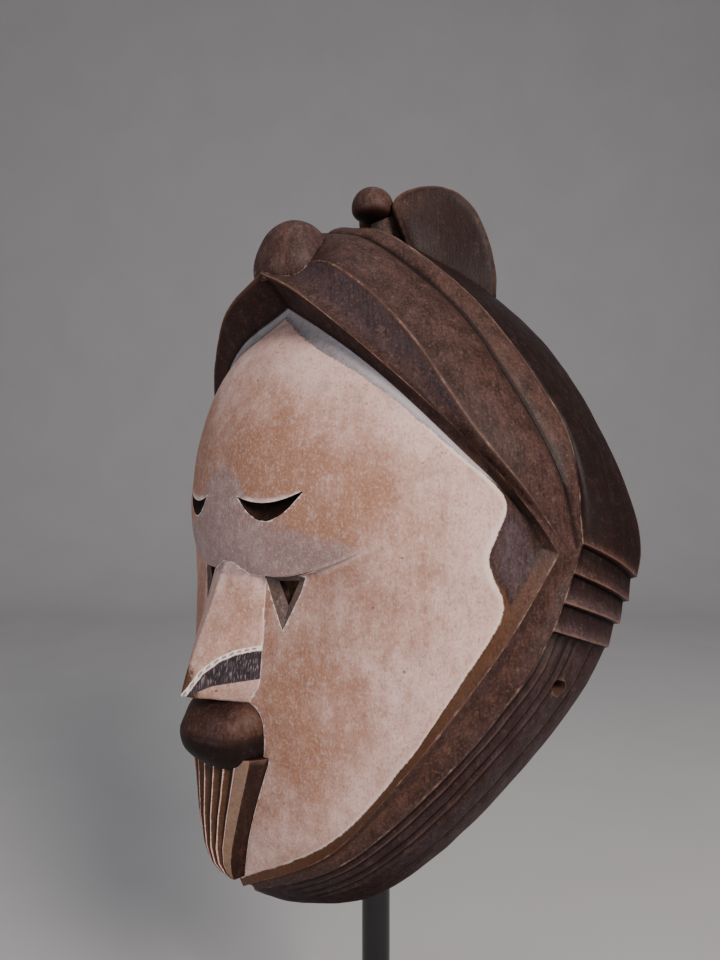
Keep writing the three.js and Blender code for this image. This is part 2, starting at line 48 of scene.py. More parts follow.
# The rim: an egg-shaped outline, upright at the back of the head and slanting forward to the chin.
RIM_HEIGHT = 260
RIM_HALF_WIDTH = 101
RIM_WIDEST_Z = 137
RIM_BACK_Y = 39
CHIN_BACK_Y = -35
RIM_SLANT_TOP_Z = 150
RIM_UPPER_ROUNDNESS = 1.5
RIM_LOWER_ROUNDNESS = 1.75
RIM_THICKNESS = 8.5

# Lines that the carving hangs on, each through one point on each of eleven sections. Section 0 is
# the midline above the face, 5 is at the ear and 10 is the midline under the chin.
EAR = 5
CHIN = 10
FRONT = [(-47, 228), (-58.5, 215), (-66, 202), (-72.5, 184), (-75, 167), (-75.5, 146),
         (-74.3, 126), (-73, 103), (-72, 76), (-71, 42), (-67, 16.5)]
HOLLOW = [(39, 251.5), (10, 255), (-24, 243), (-50, 213), (-62, 178), (-65, 146),
          (-64.5, 120), (-63.5, 92), (-62, 64), (-57, 35), (-34.6, 8.5)]
FACE_EDGE = [(0, -47, 228), (27, -54, 213), (52, -47.5, 197.5), (74, -32.5, 175.5),
             (86, -19.8, 158.5), (84.7, -26, 139.4), (87, -22.5, 122), (79.2, -33.5, 100),
             (65, -46.3, 71.5), (42, -58, 42.5), (0, -67, 16.5)]
WALL_FOOT = [(0, -45, 231.5), (28, -50.5, 218.5), (54.5, -44, 199), (77, -29.5, 173.5),
             (87.3, -14.8, 156.2), (91.5, -8, 143), (88, -21.5, 121), (80, -33.6, 99),
             (65.5, -47, 70.8), (42.5, -58.6, 41.8), (0, -67, 15.6)]
BRIM = [(0, -59.5, 244), (25.5, -60.6, 231.5), (53.4, -49.4, 207.5), (77, -33, 181.5),
        (89.5, -18, 160.5), (95.9, -4, 141), (91, -20.5, 117.5), (82.5, -33.7, 96.5),
        (67, -48.5, 69), (43.5, -60, 39.5), (0, -66, 13)]
HAIR_LINE = [(0, -42, 247.5), (32.9, -49.2, 240.3), (58, -40, 217), (79.5, -29, 182),
             (91, -14, 159.5)]
HAIR_GROOVE = [(0, -27, 268), (30, -27, 256), (60, -12, 227), (82, -2.5, 191.5), (92.5, 2.6, 167)]
BACK_RIDGE = [(0, -18, 269), (31, -20, 257), (60, -4, 229), (82.5, 8.5, 192.5), (92, 9.8, 170),
              (97.5, 7, 143.5), (95.6, -7.5, 115.8), (89, -20.5, 95), (73, -40.5, 66),
              (45, -55.5, 35.5), (0, -61, 9.5)]
RIM_Z = [260, 246, 216, 185, 160, 130, 106, 79.5, 52, 24, 0]
VALLEY_SHARES = (0.33, 0.75)

# How far the surface stands out from the straight strip between two lines (negative is hollow). The
# band's relief fades between two sections, and the jaw's bow sets in from another.
WALL_BOW = -1
HAIR_FRONT_BOW = -3
HAIR_ROLL_BOW = 2.6
HAIR_LINE_RISE = 1.3
HAIR_GROOVE_DEPTH = 2.6
BACK_RIDGE_RISE = 1.7
BACK_GROOVE_DEPTH = 1.2
RELIEF_FADE = (3.3, 5)
JAW_VALLEY_BOW = -1.5
DOME_BOW = 1.5
JAW_BOW = 2.5
JAW_BOW_FROM = 3
# Widths and places as shares of the back strip, from its ridge to the rim.
BACK_RIDGE_WIDTH = 0.02
BACK_GROOVE_AT = 0.07
BACK_GROOVE_WIDTH = 0.03
LEDGE_FULL_AT = 0.07

# Behind the ear: the panels' steps, and the flutes and the border line below them, as shares of the
# back strip. The flutes run between these sections, and fade at those rates.
PANELS = 3
PANEL_STEP = 2.4
LAST_STEP = 1.3
LAST_STEP_REACH = 0.5
FLUTES = (0.06, 0.16, 0.28, 0.39)
FLUTE_DEPTH = 1.2
FLUTE_WIDTH = 0.022
FLUTE_ENDS = (5.98, 9.8)
FLUTE_END_SLOPES = (14, 1.5)
BORDER_LINE = 0.71

# The brow's crease: the row that is bent to it, its ends as (x, z), how the recess below it and the
# tuck above it fade out, and how many mm the face drops there from one section to the next.
CREASE_SECTION = EAR + 2 / PANELS
CREASE_INNER = (20, 131.3)
CREASE_OUTER = (60.5, 143.8)
CREASE_FULL_X = 34
CREASE_END_X = 66
CREASE_DEPTH = 6
CREASE_FADE = 45
CREASE_REACH = 1.6
CREASE_REACH_X = 24
BROW_TUCK = 3.5
BROW_TUCK_RISE = 24
SECTION_DROP = 19.5
# How round the face is across, as a share of a half turn, and how much rounder where it is wide.
FACE_BULGE = 0.17
FACE_BULGE_GAIN = 0.17
FACE_FULL_X = 84

# The face's front below the nose, and a plane that lies inside the wall there.
FACE_Y = -71
BURIED_Y = -65

# How finely the shell is drawn: rows from the top of the face to the chin, and columns across each
# strip between two lines.
ROWS = 196
FACE_COLUMNS = 58
HOLLOW_COLUMNS = 30
STEP_ROW = 0.012
SECTION_LENGTH = 28
STRIP_COLUMNS = {"edge": 4, "wall": 6, "front": 14, "roll": 17, "groove": 7}
FLUTED_COLUMNS = 30
PLAIN_COLUMNS = 16
FLUTED_SHARE = 0.48
EDGE_LINE_POINTS = 161
# How far each column is worn towards its neighbours.
BAND_WEAR = 0.2


def smooth(t):
    """From 0 to 1 as t does, level at both ends."""
    t = np.clip(t, 0, 1)
    return t * t * (3 - 2 * t)


def between(a, b, share):
    """The value that share of the way from a to b."""
    return a + (b - a) * share


def along(line, s, bends_at_ear=False):
    """Points of a line at sections s, by cubics that keep it smooth. A line may bend at the ear."""
    line = np.asarray(line, float)
    s = np.asarray(s, float)
    upper = s <= EAR
    low = np.where(bends_at_ear & ~upper, EAR, 0)
    high = np.where(bends_at_ear & upper, EAR, len(line) - 1)
    i = np.clip(np.floor(s).astype(int), low, high - 1)
    t = (s - i)[..., None]

    def slope(k):
        a, b = np.maximum(low, k - 1), np.minimum(high, k + 1)
        return (line[b] - line[a]) / (b - a)[..., None]

    return ((2 * t**3 - 3 * t**2 + 1) * line[i] + (t**3 - 2 * t**2 + t) * slope(i)
            + (3 * t**2 - 2 * t**3) * line[i + 1] + (t**3 - t**2) * slope(i + 1))


def rim_y(z):
    """How far back the rim lies at a height."""
    return between(CHIN_BACK_Y, RIM_BACK_Y, smooth(z / RIM_SLANT_TOP_Z))


def rim_point(s, inset=0):
    """The rim at sections s, or a line that lies so many mm inside it."""
    z0 = along(np.array(RIM_Z, float)[:, None], s)[..., 0]
    up = z0 > RIM_WIDEST_Z
    roundness = np.where(up, RIM_UPPER_ROUNDNESS, RIM_LOWER_ROUNDNESS)
    tall = np.where(up, RIM_HEIGHT - RIM_WIDEST_Z, RIM_WIDEST_Z)
    rise = np.minimum(1, np.abs(z0 - RIM_WIDEST_Z) / tall)
    x0 = RIM_HALF_WIDTH * (1 - rise**roundness) ** (1 / roundness)
    inwards = 1 - inset / np.hypot(x0, z0 - RIM_WIDEST_Z)
    z = between(RIM_WIDEST_Z, z0, inwards)
    return np.stack([x0 * inwards, rim_y(z), z], -1)


def band_lines(s):
    """The lines of the band between the face and the rim, at sections s."""
    ear_at = [between(np.array(BRIM[EAR]), np.array(BACK_RIDGE[EAR]), share) for share in VALLEY_SHARES]
    brim, ridge = along(BRIM, s, True), along(BACK_RIDGE, s, True)
    on_hair = (s <= EAR)[..., None]
    upper = np.minimum(s, EAR)
    line, groove = (np.where(on_hair, along([*hair, ear], upper), between(brim, ridge, share))
                    for hair, ear, share in zip((HAIR_LINE, HAIR_GROOVE), ear_at, VALLEY_SHARES))
    return {"edge": along(FACE_EDGE, s), "foot": along(WALL_FOOT, s, True), "brim": brim,
            "line": line, "groove": groove, "ridge": ridge, "rim": rim_point(s)}


def outward(a, b, s, name):
    """The way out of the strip from a to b: square to it and to the lines that it lies between."""
    near = 0.05
    down = band_lines(np.minimum(CHIN, s + near))[name] - band_lines(np.maximum(0, s - near))[name]
    out = np.cross(down, b - a)
    return out / np.maximum(np.linalg.norm(out, axis=-1, keepdims=True), 1e-9)


def panel_drop(s):
    """The panels' steps: the surface drops at each ledge and rises again to the next."""
    panels = np.where((s > EAR) & (s < EAR + 1), PANEL_STEP * (1 - ((s - EAR) * PANELS) % 1), 0)
    return np.where(s >= EAR + 1, LAST_STEP * np.maximum(0, 1 - (s - EAR - 1) / LAST_STEP_REACH), panels)


def band_grid(s):
    """Columns of the band at sections s, as (rows, columns, 3), and which strip each one is in."""
    at = band_lines(s)
    hair = 1 - smooth((s - RELIEF_FADE[0]) / (RELIEF_FADE[1] - RELIEF_FADE[0]))
    jaw = smooth((s - EAR) * 2)
    brim_out = outward(at["brim"], at["ridge"], s, "brim")
    rim_out = outward(at["ridge"], at["rim"], s, "ridge")
    wall_out = outward(at["foot"], at["brim"], s, "brim")
    line_at, groove_at = VALLEY_SHARES
    # The front strip is flat where the bun sits on it.
    front_bow = HAIR_FRONT_BOW * smooth((s + 0.2) / 1.2)

    def valley(share):
        return JAW_VALLEY_BOW * math.sin(math.pi * share) * jaw

    columns, strips = [], []

    def strip(name, a, b, out, height, shares=None):
        count = STRIP_COLUMNS.get(name)
        for t in shares or np.arange(count) / count:
            columns.append(between(at[a], at[b], t) + (height(t) * np.ones_like(s))[:, None] * out)
            strips.append(name)

    strip("edge", "edge", "foot", wall_out, lambda t: 0)
    strip("wall", "foot", "brim", wall_out, lambda t: WALL_BOW * hair * 4 * t * (1 - t))
    strip("front", "brim", "line", brim_out, lambda t: (
        front_bow * 4 * t * (1 - t) + HAIR_LINE_RISE * t**4) * hair + valley(line_at * t))
    strip("roll", "line", "groove", brim_out, lambda t: (
        HAIR_ROLL_BOW * math.sin(math.pi * t) + HAIR_LINE_RISE * (1 - t)**6
        - HAIR_GROOVE_DEPTH * t**8) * hair + valley(between(line_at, groove_at, t)))
    strip("groove", "groove", "ridge", brim_out, lambda t: (
        BACK_RIDGE_RISE * t**3 - HAIR_GROOVE_DEPTH * (1 - t)**4) * hair + valley(groove_at) * (1 - t))
    fluting = (smooth((s - FLUTE_ENDS[0]) * FLUTE_END_SLOPES[0])
               * smooth((FLUTE_ENDS[1] - s) * FLUTE_END_SLOPES[1]))
    bow = between(DOME_BOW, JAW_BOW, smooth((s - JAW_BOW_FROM) / (EAR - JAW_BOW_FROM)))

    def back(t):
        cut = sum(math.exp(-((t - g) / FLUTE_WIDTH) ** 2) for g in (*FLUTES, BORDER_LINE))
        ledge = panel_drop(s) * min(1, t / LEDGE_FULL_AT)
        rise = BACK_RIDGE_RISE * hair * math.exp(-t / BACK_RIDGE_WIDTH)
        rise = rise - BACK_GROOVE_DEPTH * hair * math.exp(-((t - BACK_GROOVE_AT) / BACK_GROOVE_WIDTH) ** 2)
        return bow * math.sin(math.pi * t) - ledge - FLUTE_DEPTH * fluting * cut + rise

    fluted = np.arange(FLUTED_COLUMNS) / FLUTED_COLUMNS * FLUTED_SHARE
    plain = FLUTED_SHARE + (1 - FLUTED_SHARE) * np.arange(PLAIN_COLUMNS + 1) / PLAIN_COLUMNS
    strip("back", "ridge", "rim", rim_out, back, [*fluted, *plain])
    return np.stack(columns, 1), strips


def crease_z(x):
    """The height of the brow's crease, out from the middle."""
    share = np.maximum(0, (x - CREASE_INNER[0]) / (CREASE_OUTER[0] - CREASE_INNER[0]))
    return between(CREASE_INNER[1], CREASE_OUTER[1], share**2)


def face_point(s, share):
    """The face at sections s, and that share of the way out to its edge."""
    mid, edge = along(FRONT, s), along(FACE_EDGE, s)
    span = math.pi * (FACE_BULGE + FACE_BULGE_GAIN * np.minimum(1, edge[..., 0] / FACE_FULL_X))
    across = np.sin(span * share) / np.sin(span)
    deep = (1 - np.cos(span * share)) / (1 - np.cos(span))
    return np.stack([edge[..., 0] * across, between(mid[..., 0], edge[..., 1], deep),
                     between(mid[..., 1], edge[..., 2], deep)], -1)


def face_grid(s):
    """Columns of half the face. Rows near the brow's crease are bent to run along it."""
    share = np.arange(FACE_COLUMNS)[None, :] / FACE_COLUMNS
    rows = s[:, None] + 0 * share
    at_crease = face_point(np.full_like(share, CREASE_SECTION), share)
    near_row = np.maximum(0, 1 - np.abs(rows - CREASE_SECTION) / CREASE_REACH)
    near_middle = 1 - smooth((at_crease[..., 0] - CREASE_OUTER[0]) / CREASE_REACH_X)
    bend = near_row * near_middle * (crease_z(at_crease[..., 0]) - at_crease[..., 2]) / SECTION_DROP
    p = face_point(rows - bend, share + 0 * rows)
    above = p[..., 2] - crease_z(p[..., 0])
    tuck = BROW_TUCK * np.clip(1 - above / BROW_TUCK_RISE, 0, 1) ** 2
    recess = CREASE_DEPTH * np.clip(1 + above / CREASE_FADE, 0, 1)
    fade = 1 - smooth((p[..., 0] - CREASE_FULL_X) / (CREASE_END_X - CREASE_FULL_X))
    p[..., 1] += np.where(rows > CREASE_SECTION, recess, tuck) * fade
    return p


def hollow_grid(s):
    """Columns of half the hollow, from its inner edge at the rim to its middle line."""
    mid, edge = along(HOLLOW, s), rim_point(s, RIM_THICKNESS)
    columns = []
    for i in range(HOLLOW_COLUMNS + 1):
        angle = math.pi / 2 * i / HOLLOW_COLUMNS
        deep = math.cos(angle) if i < HOLLOW_COLUMNS else 0
        columns.append(np.stack([edge[:, 0] * math.sin(angle), between(edge[:, 1], mid[:, 0], deep),
                                 between(edge[:, 2], mid[:, 1], deep)], -1))
    return np.stack(columns, 1)


# What each point of the mask's surface is, kept on the meshes' corners so that the joins stay
# crisp: white is the distance in mm inside the edge of the whitened part, wash how much thin white
# is smeared over bare wood, inner is 1 on the tooled back, stain is how thick the dark stain lies
# and also carries painted shade on the dome and crest, on the lips, on the knot and under the
# ledges, tint is from purple-grey (-1) to golden (1), ridge and groove are the distances in mm to a
# pale line along an edge or crease, partly wear and partly painted highlight, and to a cut, and
# band_* place the painted band of the nose.
FIELDS = {"white": -30, "wash": 0, "inner": 0, "stain": 0, "tint": 0, "ridge": 20, "groove": 20,
          "band_up": 20, "band_in": -20, "band_run": 0}
# The band's strips: how thickly each is stained, and its tint, round the hair and round the jaw.
# Round the hair the back strip's thick stain is partly painted shade on the dome.
STRIP_STAIN_AND_SHADE = {"edge": (0.3, 0.1), "wall": (0.55, 0.1), "front": (0.15, 0.3), "roll": (0, 0.1),
               "groove": (0.1, 0.2), "back": (1.45, 0.7)}
STRIP_TINT = {"edge": (-0.5, 1), "wall": (0.2, 1), "front": (-0.7, -0.8), "roll": (0.1, 0.5),
              "groove": (0.5, 0.2), "back": (0.5, -0.7)}
# The jaw's coat starts that far above the ear, and is full that far on.
JAW_COAT = (0.3, 0.9)
# White smeared on the strip outside the face: by the face and at the wall's foot, how much of it
# lies at the top, over which sections it grows, and where it ends. The wall is kept clear of it.
SMEAR = (0.62, 0.33)
SMEAR_FULL_AT = 0.7
SMEAR_AT_TOP = 0.65
SMEAR_GROWS = (0.6, 2.2)
SMEAR_ENDS = (3.25, 0.5)
WALL_WASH = -1.5
# Distances inside the white: never white, stripped bare, and white all over.
NEVER_WHITE = -60
BARE = -3
ALL_WHITE = 30
# The ear's flat facet is greyed, up to a border beside the brim.
EAR_FACET_TINT = -1.0
EAR_FACET_STAIN = 0.15
EAR_FACET_AT = 0.05
EAR_FACET_REACH = 1.1
EAR_BORDER = 4.5
EAR_BORDER_BLUR = 1.5
BRIM_TINT = 1.1
BRIM_TINT_WIDTH = 7
ROLL_EDGE_STAIN = 0.55
# A ledge has painted shade under its edge and is worn along it, over these shares of a panel.
LEDGE_SHADE, LEDGE_SHADE_REACH = 0.9, 0.6
LEDGE_WEAR, LEDGE_WEAR_REACH = 1.2, 0.45
LEDGE_RIDGE_FROM = 0.25


def shown(name, data):
    """An object in the scene with that data."""
    made = bpy.data.objects.new(name, data)
    bpy.context.scene.collection.objects.link(made)
    return made


def drawn(name, points, faces):
    """An object in the scene with a mesh through those points."""
    mesh = bpy.data.meshes.new(name)
    mesh.from_pydata(np.asarray(points, float).tolist(), [], faces)
    return shown(name, mesh)


def bevelled(body, width):
    """Rounds the sharp edges of an object."""
    bevel = body.modifiers.new("bevel", "BEVEL")
    bevel.width, bevel.segments = width, 3
    bevel.limit_method, bevel.angle_limit = "ANGLE", BEVEL_ANGLE


def settled(body):
    """A new mesh of the object, with its modifiers worked out."""
    return bpy.data.meshes.new_from_object(body.evaluated_get(bpy.context.evaluated_depsgraph_get()))


def smooth_shaded(mesh, sharp_from=math.pi):
    """Shades a mesh smooth, but for the edges that turn by more than that angle."""
    mesh.polygons.foreach_set("use_smooth", np.ones(len(mesh.polygons), bool))
    if sharp_from < math.pi:
        mesh.set_sharp_from_angle(angle=sharp_from)


def taken(bm):
    """The points and faces of a form, which is then freed."""
    bm.verts.index_update()
    form = np.array([v.co for v in bm.verts]), [[v.index for v in f.verts] for f in bm.faces]
    bm.free()
    return form


def read(items, name, kind, size=1):
    """The values that a mesh's items have, as an array with so many to a row."""
    values = np.zeros(len(items) * size, kind)
    items.foreach_get(name, values)
    return values.reshape(-1, size) if size > 1 else values


def make_solid(name, points, faces, fields):
    """A closed mesh from points in mm, with its fields on the corners."""
    made = drawn(name, (np.asarray(points, float) + (0, 0, MASK_Z)) * MM, faces)
    mesh = made.data
    mesh.validate()
    corner_points = read(mesh.loops, "vertex_index", np.int32)
    for field, usual in FIELDS.items():
        value = np.broadcast_to(np.asarray(fields.get(field, usual), np.float32), len(points))
        mesh.attributes.new(field, "FLOAT", "CORNER").data.foreach_set("value", value[corner_points])
    return made


def distance_to_line(points, line, signed=False):
    """How far each point is from a line drawn through close points, in mm. In a plane it can be
    signed, positive on the line's left."""
    best, sign = np.full(len(points), 1e9), np.ones(len(points))
    for a, b in zip(line[:-1], line[1:]):
        way = b - a
        t = np.clip((points - a) @ way / max(way @ way, 1e-9), 0, 1)
        away = np.linalg.norm(points - a - t[:, None] * way, axis=1)
        if signed:
            left = way[0] * (points[:, 1] - a[1]) - way[1] * (points[:, 0] - a[0]) > 0
            sign = np.where(away < best, np.where(left, 1, -1), sign)
        best = np.minimum(best, away)
    return best * sign


def two_sided(grid):
    """Half a surface with its mirror image: all the points, which ones to keep where they meet on the
    midline, and the faces through those."""
    rows, columns = grid.shape[:2]
    half = grid.reshape(-1, 3)
    points = np.concatenate([half, half * (-1, 1, 1)])
    keys = np.round(points * 1000).astype(np.int64)
    _, first, back = np.unique(keys, axis=0, return_index=True, return_inverse=True)
    r, c = np.meshgrid(np.arange(rows - 1), np.arange(columns - 1), indexing="ij")
    a = (r * columns + c).reshape(-1)
    left = np.stack([a, a + columns, a + columns + 1, a + 1], 1)
    right = (left + len(half))[:, ::-1]
    faces = []
    for quad in back.reshape(-1)[np.concatenate([left, right])].tolist():
        kept = [v for i, v in enumerate(quad) if v != quad[i - 1]]
        if len(kept) > 2:
            faces.append(kept)
    return points, first, faces


def shell():
    """The mask's shell: face, band, rim and hollow as one closed surface, the same on both sides."""
    ledges = [EAR + i / PANELS for i in range(PANELS + 1)]
    even = [s for s in np.linspace(0, CHIN, ROWS + 1) if min(abs(s - e) for e in ledges) > 2 * STEP_ROW]
    s = np.array(sorted([*even, *(e + d for e in ledges for d in (-STEP_ROW, STEP_ROW))]))
    band, strips = band_grid(s)
    band[:, 1:-1] += BAND_WEAR * (band[:, 2:] + band[:, :-2] - 2 * band[:, 1:-1])
    face, hollow = face_grid(s), hollow_grid(s)[:, ::-1]
    grid = np.concatenate([face, band, hollow], 1)
    grid[[0, -1], :, 0] = 0
    kinds = ["face"] * FACE_COLUMNS + strips + ["inner"] * hollow.shape[1]
    points, first, faces = two_sided(grid)
    fields = shell_fields(s, grid, kinds)
    return make_solid("shell", points[first], faces, {k: np.tile(v, 2)[first] for k, v in fields.items()})


def shell_fields(s, grid, kinds):
    """The fields at each point of half the shell, from its sections and the strip of each column."""
    rows, columns = grid.shape[:2]
    half = grid.reshape(-1, 3)
    kind = np.tile(np.array(kinds), rows)
    section = np.repeat(s, columns)
    from_edge = distance_to_line(half, along(FACE_EDGE, np.linspace(0, CHIN, EDGE_LINE_POINTS)))
    white = np.where(kind == "face", from_edge, -from_edge)
    white = np.where(kind == "inner", NEVER_WHITE, white)

    def through(strip):
        return (np.tile(np.arange(columns), rows) - kinds.index(strip)) / STRIP_COLUMNS[strip]

    across = through("edge")
    wash = SMEAR[0] + SMEAR[1] * smooth(across / SMEAR_FULL_AT)
    wash *= between(SMEAR_AT_TOP, 1, smooth((section - SMEAR_GROWS[0]) / SMEAR_GROWS[1]))
    wash *= 1 - smooth((section - SMEAR_ENDS[0]) / SMEAR_ENDS[1])
    wash = np.where((across >= 0) & (across <= 1), wash, 0)
    wash = np.where((kind == "wall") & (across > 1), WALL_WASH, wash)
    by_jaw = smooth((section - EAR + JAW_COAT[0]) / JAW_COAT[1])
    stain, tint = np.zeros(len(half)), np.zeros(len(half))
    # Each strip's stain and tint; round the hair the back strip's stain is partly painted shade on the dome.
    for name in STRIP_STAIN_AND_SHADE:
        here = kind == name
        stain[here] = np.interp(by_jaw[here], (0, 1), STRIP_STAIN_AND_SHADE[name])
        tint[here] = np.interp(by_jaw[here], (0, 1), STRIP_TINT[name])

    def from_line(name, last=CHIN):
        return distance_to_line(half, grid[s <= last, kinds.index(name)])

    from_brim = from_line("front")
    by_ear = np.exp(-((section - EAR - EAR_FACET_AT) / EAR_FACET_REACH) ** 6)
    facet = by_ear * np.isin(kind, ("edge", "wall")) * smooth((from_brim - EAR_BORDER) / EAR_BORDER_BLUR)
    stain *= 1 - EAR_FACET_STAIN * facet
    tint += (EAR_FACET_TINT - tint) * facet * smooth((-white - 1) / 2)
    tint += BRIM_TINT * (kind == "front") * (1 - smooth(from_brim / BRIM_TINT_WIDTH))
    by_roll_edge = 1 - np.sin(math.pi * np.clip(through("roll"), 0, 1))
    stain += np.where(kind == "roll", ROLL_EDGE_STAIN * by_roll_edge * (1 - by_jaw), 0)
    ridge = np.minimum(np.minimum(from_brim, from_line("roll", EAR - 0.3)), from_line("back"))
    past = (section - EAR) * PANELS
    on_panels = (kind == "back") & (past > -0.5) & (past < PANELS + 0.7)
    below = np.minimum(past, PANELS) % 1 + np.maximum(0, past - PANELS)
    below = np.where(on_panels & (past >= 0), below, 1)
    above = np.where(on_panels & (past < PANELS), -past % 1, 1)
    ridge = np.minimum(ridge, above * SECTION_LENGTH / PANELS + LEDGE_RIDGE_FROM)
    # Painted shade under each ledge, then wear along the top of the next.
    stain += LEDGE_SHADE * (1 - smooth(below / LEDGE_SHADE_REACH))
    stain -= LEDGE_WEAR * (1 - smooth(above / LEDGE_WEAR_REACH))
    groove = from_line("groove", EAR)
    return {"white": white, "wash": wash, "inner": (kind == "inner").astype(float), "stain": stain,
            "tint": tint, "ridge": ridge, "groove": groove}


def hull(points):
    """The closed form round a few points."""
    bm = bmesh.new()
    for p in points:
        bm.verts.new(p)
    made = bmesh.ops.convex_hull(bm, input=bm.verts)
    bmesh.ops.delete(bm, geom=list({*made["geom_interior"], *made["geom_unused"]}), context="VERTS")
    return taken(bm)


def worn_round(points, faces, cell, passes, edge=0):
    """The same form redrawn in even cells of that size, with its edges worn round by a number of
    passes. A first bevel of that width goes along its sharp edges."""
    rough = drawn("rough", points, faces)
    if edge:
        bevelled(rough, edge)
    cells = rough.modifiers.new("cells", "REMESH")
    cells.mode, cells.voxel_size = "VOXEL", cell
    worn = rough.modifiers.new("worn", "SMOOTH")
    worn.factor, worn.iterations = 0.5, passes
    mesh, fine = rough.data, settled(rough)
    made = read(fine.vertices, "co", float, 3), [list(p.vertices) for p in fine.polygons]
    bpy.data.objects.remove(rough)
    bpy.data.meshes.remove(mesh)
    bpy.data.meshes.remove(fine)
    return made


def circle(radius, count):
    """Points round a circle, as pairs."""
    return [(radius * math.cos(a), radius * math.sin(a))
            for a in np.linspace(0, 2 * math.pi, count, endpoint=False)]


def ring_solid(rings):
    """A closed form through rings of points, lowest first, with flat ends."""
    count = len(rings[0])
    faces = [[r * count + i, r * count + (i + 1) % count, (r + 1) * count + (i + 1) % count,
              (r + 1) * count + i] for r in range(len(rings) - 1) for i in range(count)]
    faces.append(list(range(count))[::-1])
    faces.append([(len(rings) - 1) * count + i for i in range(count)])
    return np.concatenate([np.asarray(ring, float) for ring in rings]), faces


# The nose: a long wedge with flat sides and a slanted underside. Its corners are the root and the
# tip, and on each side the root, the wing, two that are buried in the face, and the foot.
NOSE_ROOT = (0, -74, 135)
NOSE_TIP = (0, -91.5, 89)
NOSE_SIDE = [(17.5, -67.5, 133), (18, FACE_Y, 95), (17.5, BURIED_Y, 135), (18, BURIED_Y, 85),
             (3, FACE_Y - 4, 85)]
# The white is worn off round the tip, less far up the ridge.
NOSE_WORN_TIP = 6.5
NOSE_WEAR_WAY = (1, 1, 0.6)
NOSE_WEAR_SLOPE = 0.2

# The painted band on each side of the nose, as (x, z): its upper curve from the tip to the cheek,
# and its lower edge. The side's surface is longer than its x by this.
BAND_UPPER = [(0, 87), (2.3, 90.7), (5.1, 96.8), (8.7, 101), (12.3, 103.4), (16.7, 104.8), (20, 105.3)]
BAND_LOWER = [(0, 88), (2.8, 89.3), (7.3, 92.2), (12.3, 93.5), (17.3, 94.6), (20, 95.2)]
BAND_STRETCH = 1.49


def nose():
    """The nose, with its painted band and its worn tip."""
    sides = [(side * x, y, z) for x, y, z in NOSE_SIDE for side in (1, -1)]
    points, faces = worn_round(*hull([NOSE_ROOT, NOSE_TIP, *sides]), cell=0.9, passes=4)
    flat = np.stack([np.abs(points[:, 0]) * BAND_STRETCH, points[:, 2]], -1)
    up, inside = (distance_to_line(flat, np.array(curve) * (BAND_STRETCH, 1), signed=True)
                  for curve in (BAND_UPPER, BAND_LOWER))
    from_tip = np.linalg.norm((points - NOSE_TIP) * NOSE_WEAR_WAY, axis=1) - NOSE_WORN_TIP
    return make_solid("nose", points, faces, {
        "white": np.minimum(from_tip * NOSE_WEAR_SLOPE, ALL_WHITE), "stain": 0.2, "tint": 0.8,
        "band_up": up, "band_in": inside, "band_run": flat[:, 0]})


def cushion(name, form, fineness, fields, shaped=lambda points: points):
    """A ball squared off, scaled, and then shaped. A higher number is squarer: across it, and for its
    profile at the front and at its ends."""
    bm = bmesh.new()
    bmesh.ops.create_icosphere(bm, subdivisions=fineness, radius=1)
    ball, faces = taken(bm)
    out = np.hypot(ball[:, 0], ball[:, 1])
    flat = ball[:, :2] / np.maximum(out, 1e-6)[:, None]
    squareness = between(form["front"], form["end"], flat[:, 0] ** 2)

    def power(v, squareness):
        return np.sign(v) * np.abs(v) ** (2 / squareness)

    flat = power(flat, form["across"]) * power(out, squareness)[:, None]
    points = shaped(np.column_stack([flat, power(ball[:, 2], squareness)]) * form["radii"] + form["at"])
    return make_solid(name, points, faces, fields(points))


# The lips: thick and closed, lighter above, with painted shade where the lower one turns under and on the
# upper one under the nose.
LIPS = {"at": (0, -71, 74.5), "radii": (20.6, 17.6, 12.5), "across": 2.1, "front": 2.6, "end": 3.5}
LIPS_BACK_Y = -66
# The upper lip is cut back by this share of its depth, and by so much more for each mm up.
LIPS_SLOPE = (0.035, 0.014)


def lips():
    """The lips: the upper one a plane that slopes back, worn paler at the corners of the mouth and with
    painted shade under the nose, and the lower one full, with painted shade where it turns under."""
    def shaped(p):
        up = p[:, 2] - LIPS["at"][2]
        slope = (LIPS_SLOPE[0] + LIPS_SLOPE[1] * np.maximum(up, 0)) * smooth((up + 1.5) / 5)
        p[:, 1] -= np.minimum(p[:, 1] - LIPS_BACK_Y, 0) * slope
        return p

    def fields(p):
        x, up = np.abs(p[:, 0]), p[:, 2] - LIPS["at"][2]
        # Painted shade on the lower lip where it turns under, and on the top of the upper lip under the
        # nose.
        below = smooth((3 + 0.08 * x - up) / 6.5)
        corner = smooth((x - 10) / 8) * (1 - below)
        under_nose = smooth((up - 7) / 3) * (1 - corner)
        return {"stain": 0.2 + 1.5 * below - 0.35 * corner + 0.5 * under_nose,
                "tint": 0.2 + 0.2 * below + 0.5 * corner}

    return combined(cushion("lips", LIPS, 5, fields, shaped), block_behind(LIPS_BACK_Y), "DIFFERENCE")


# The bun at the top of the brow, flat below.
BUN = {"at": (0, -42.2, 249), "radii": (14.6, 14.6, 17.8), "across": 2.3, "front": 2.05, "end": 2.05}
# It spreads by this share towards its foot, from 10 mm over its middle down.
BUN_SPREAD = 0.1
BUN_UNDERSIDE_Z = 241
# The pale line below it: its height in mm from back to front, by y.
BUN_LINE = ((-58, -32), (245.2, 249))


def bun():
    """The bun, with a worn pale line along the crease below it."""
    def shaped(p):
        low = smooth((BUN["at"][2] + 10 - p[:, 2]) / 16)
        p[:, :2] += (p[:, :2] - BUN["at"][:2]) * BUN_SPREAD * low[:, None]
        return p

    def fields(p):
        return {"stain": -0.1, "tint": -0.2, "ridge": 0.8 * np.abs(p[:, 2] - np.interp(p[:, 1], *BUN_LINE))}

    return combined(cushion("bun", BUN, 5, fields, shaped), block_below(BUN_UNDERSIDE_Z), "DIFFERENCE")


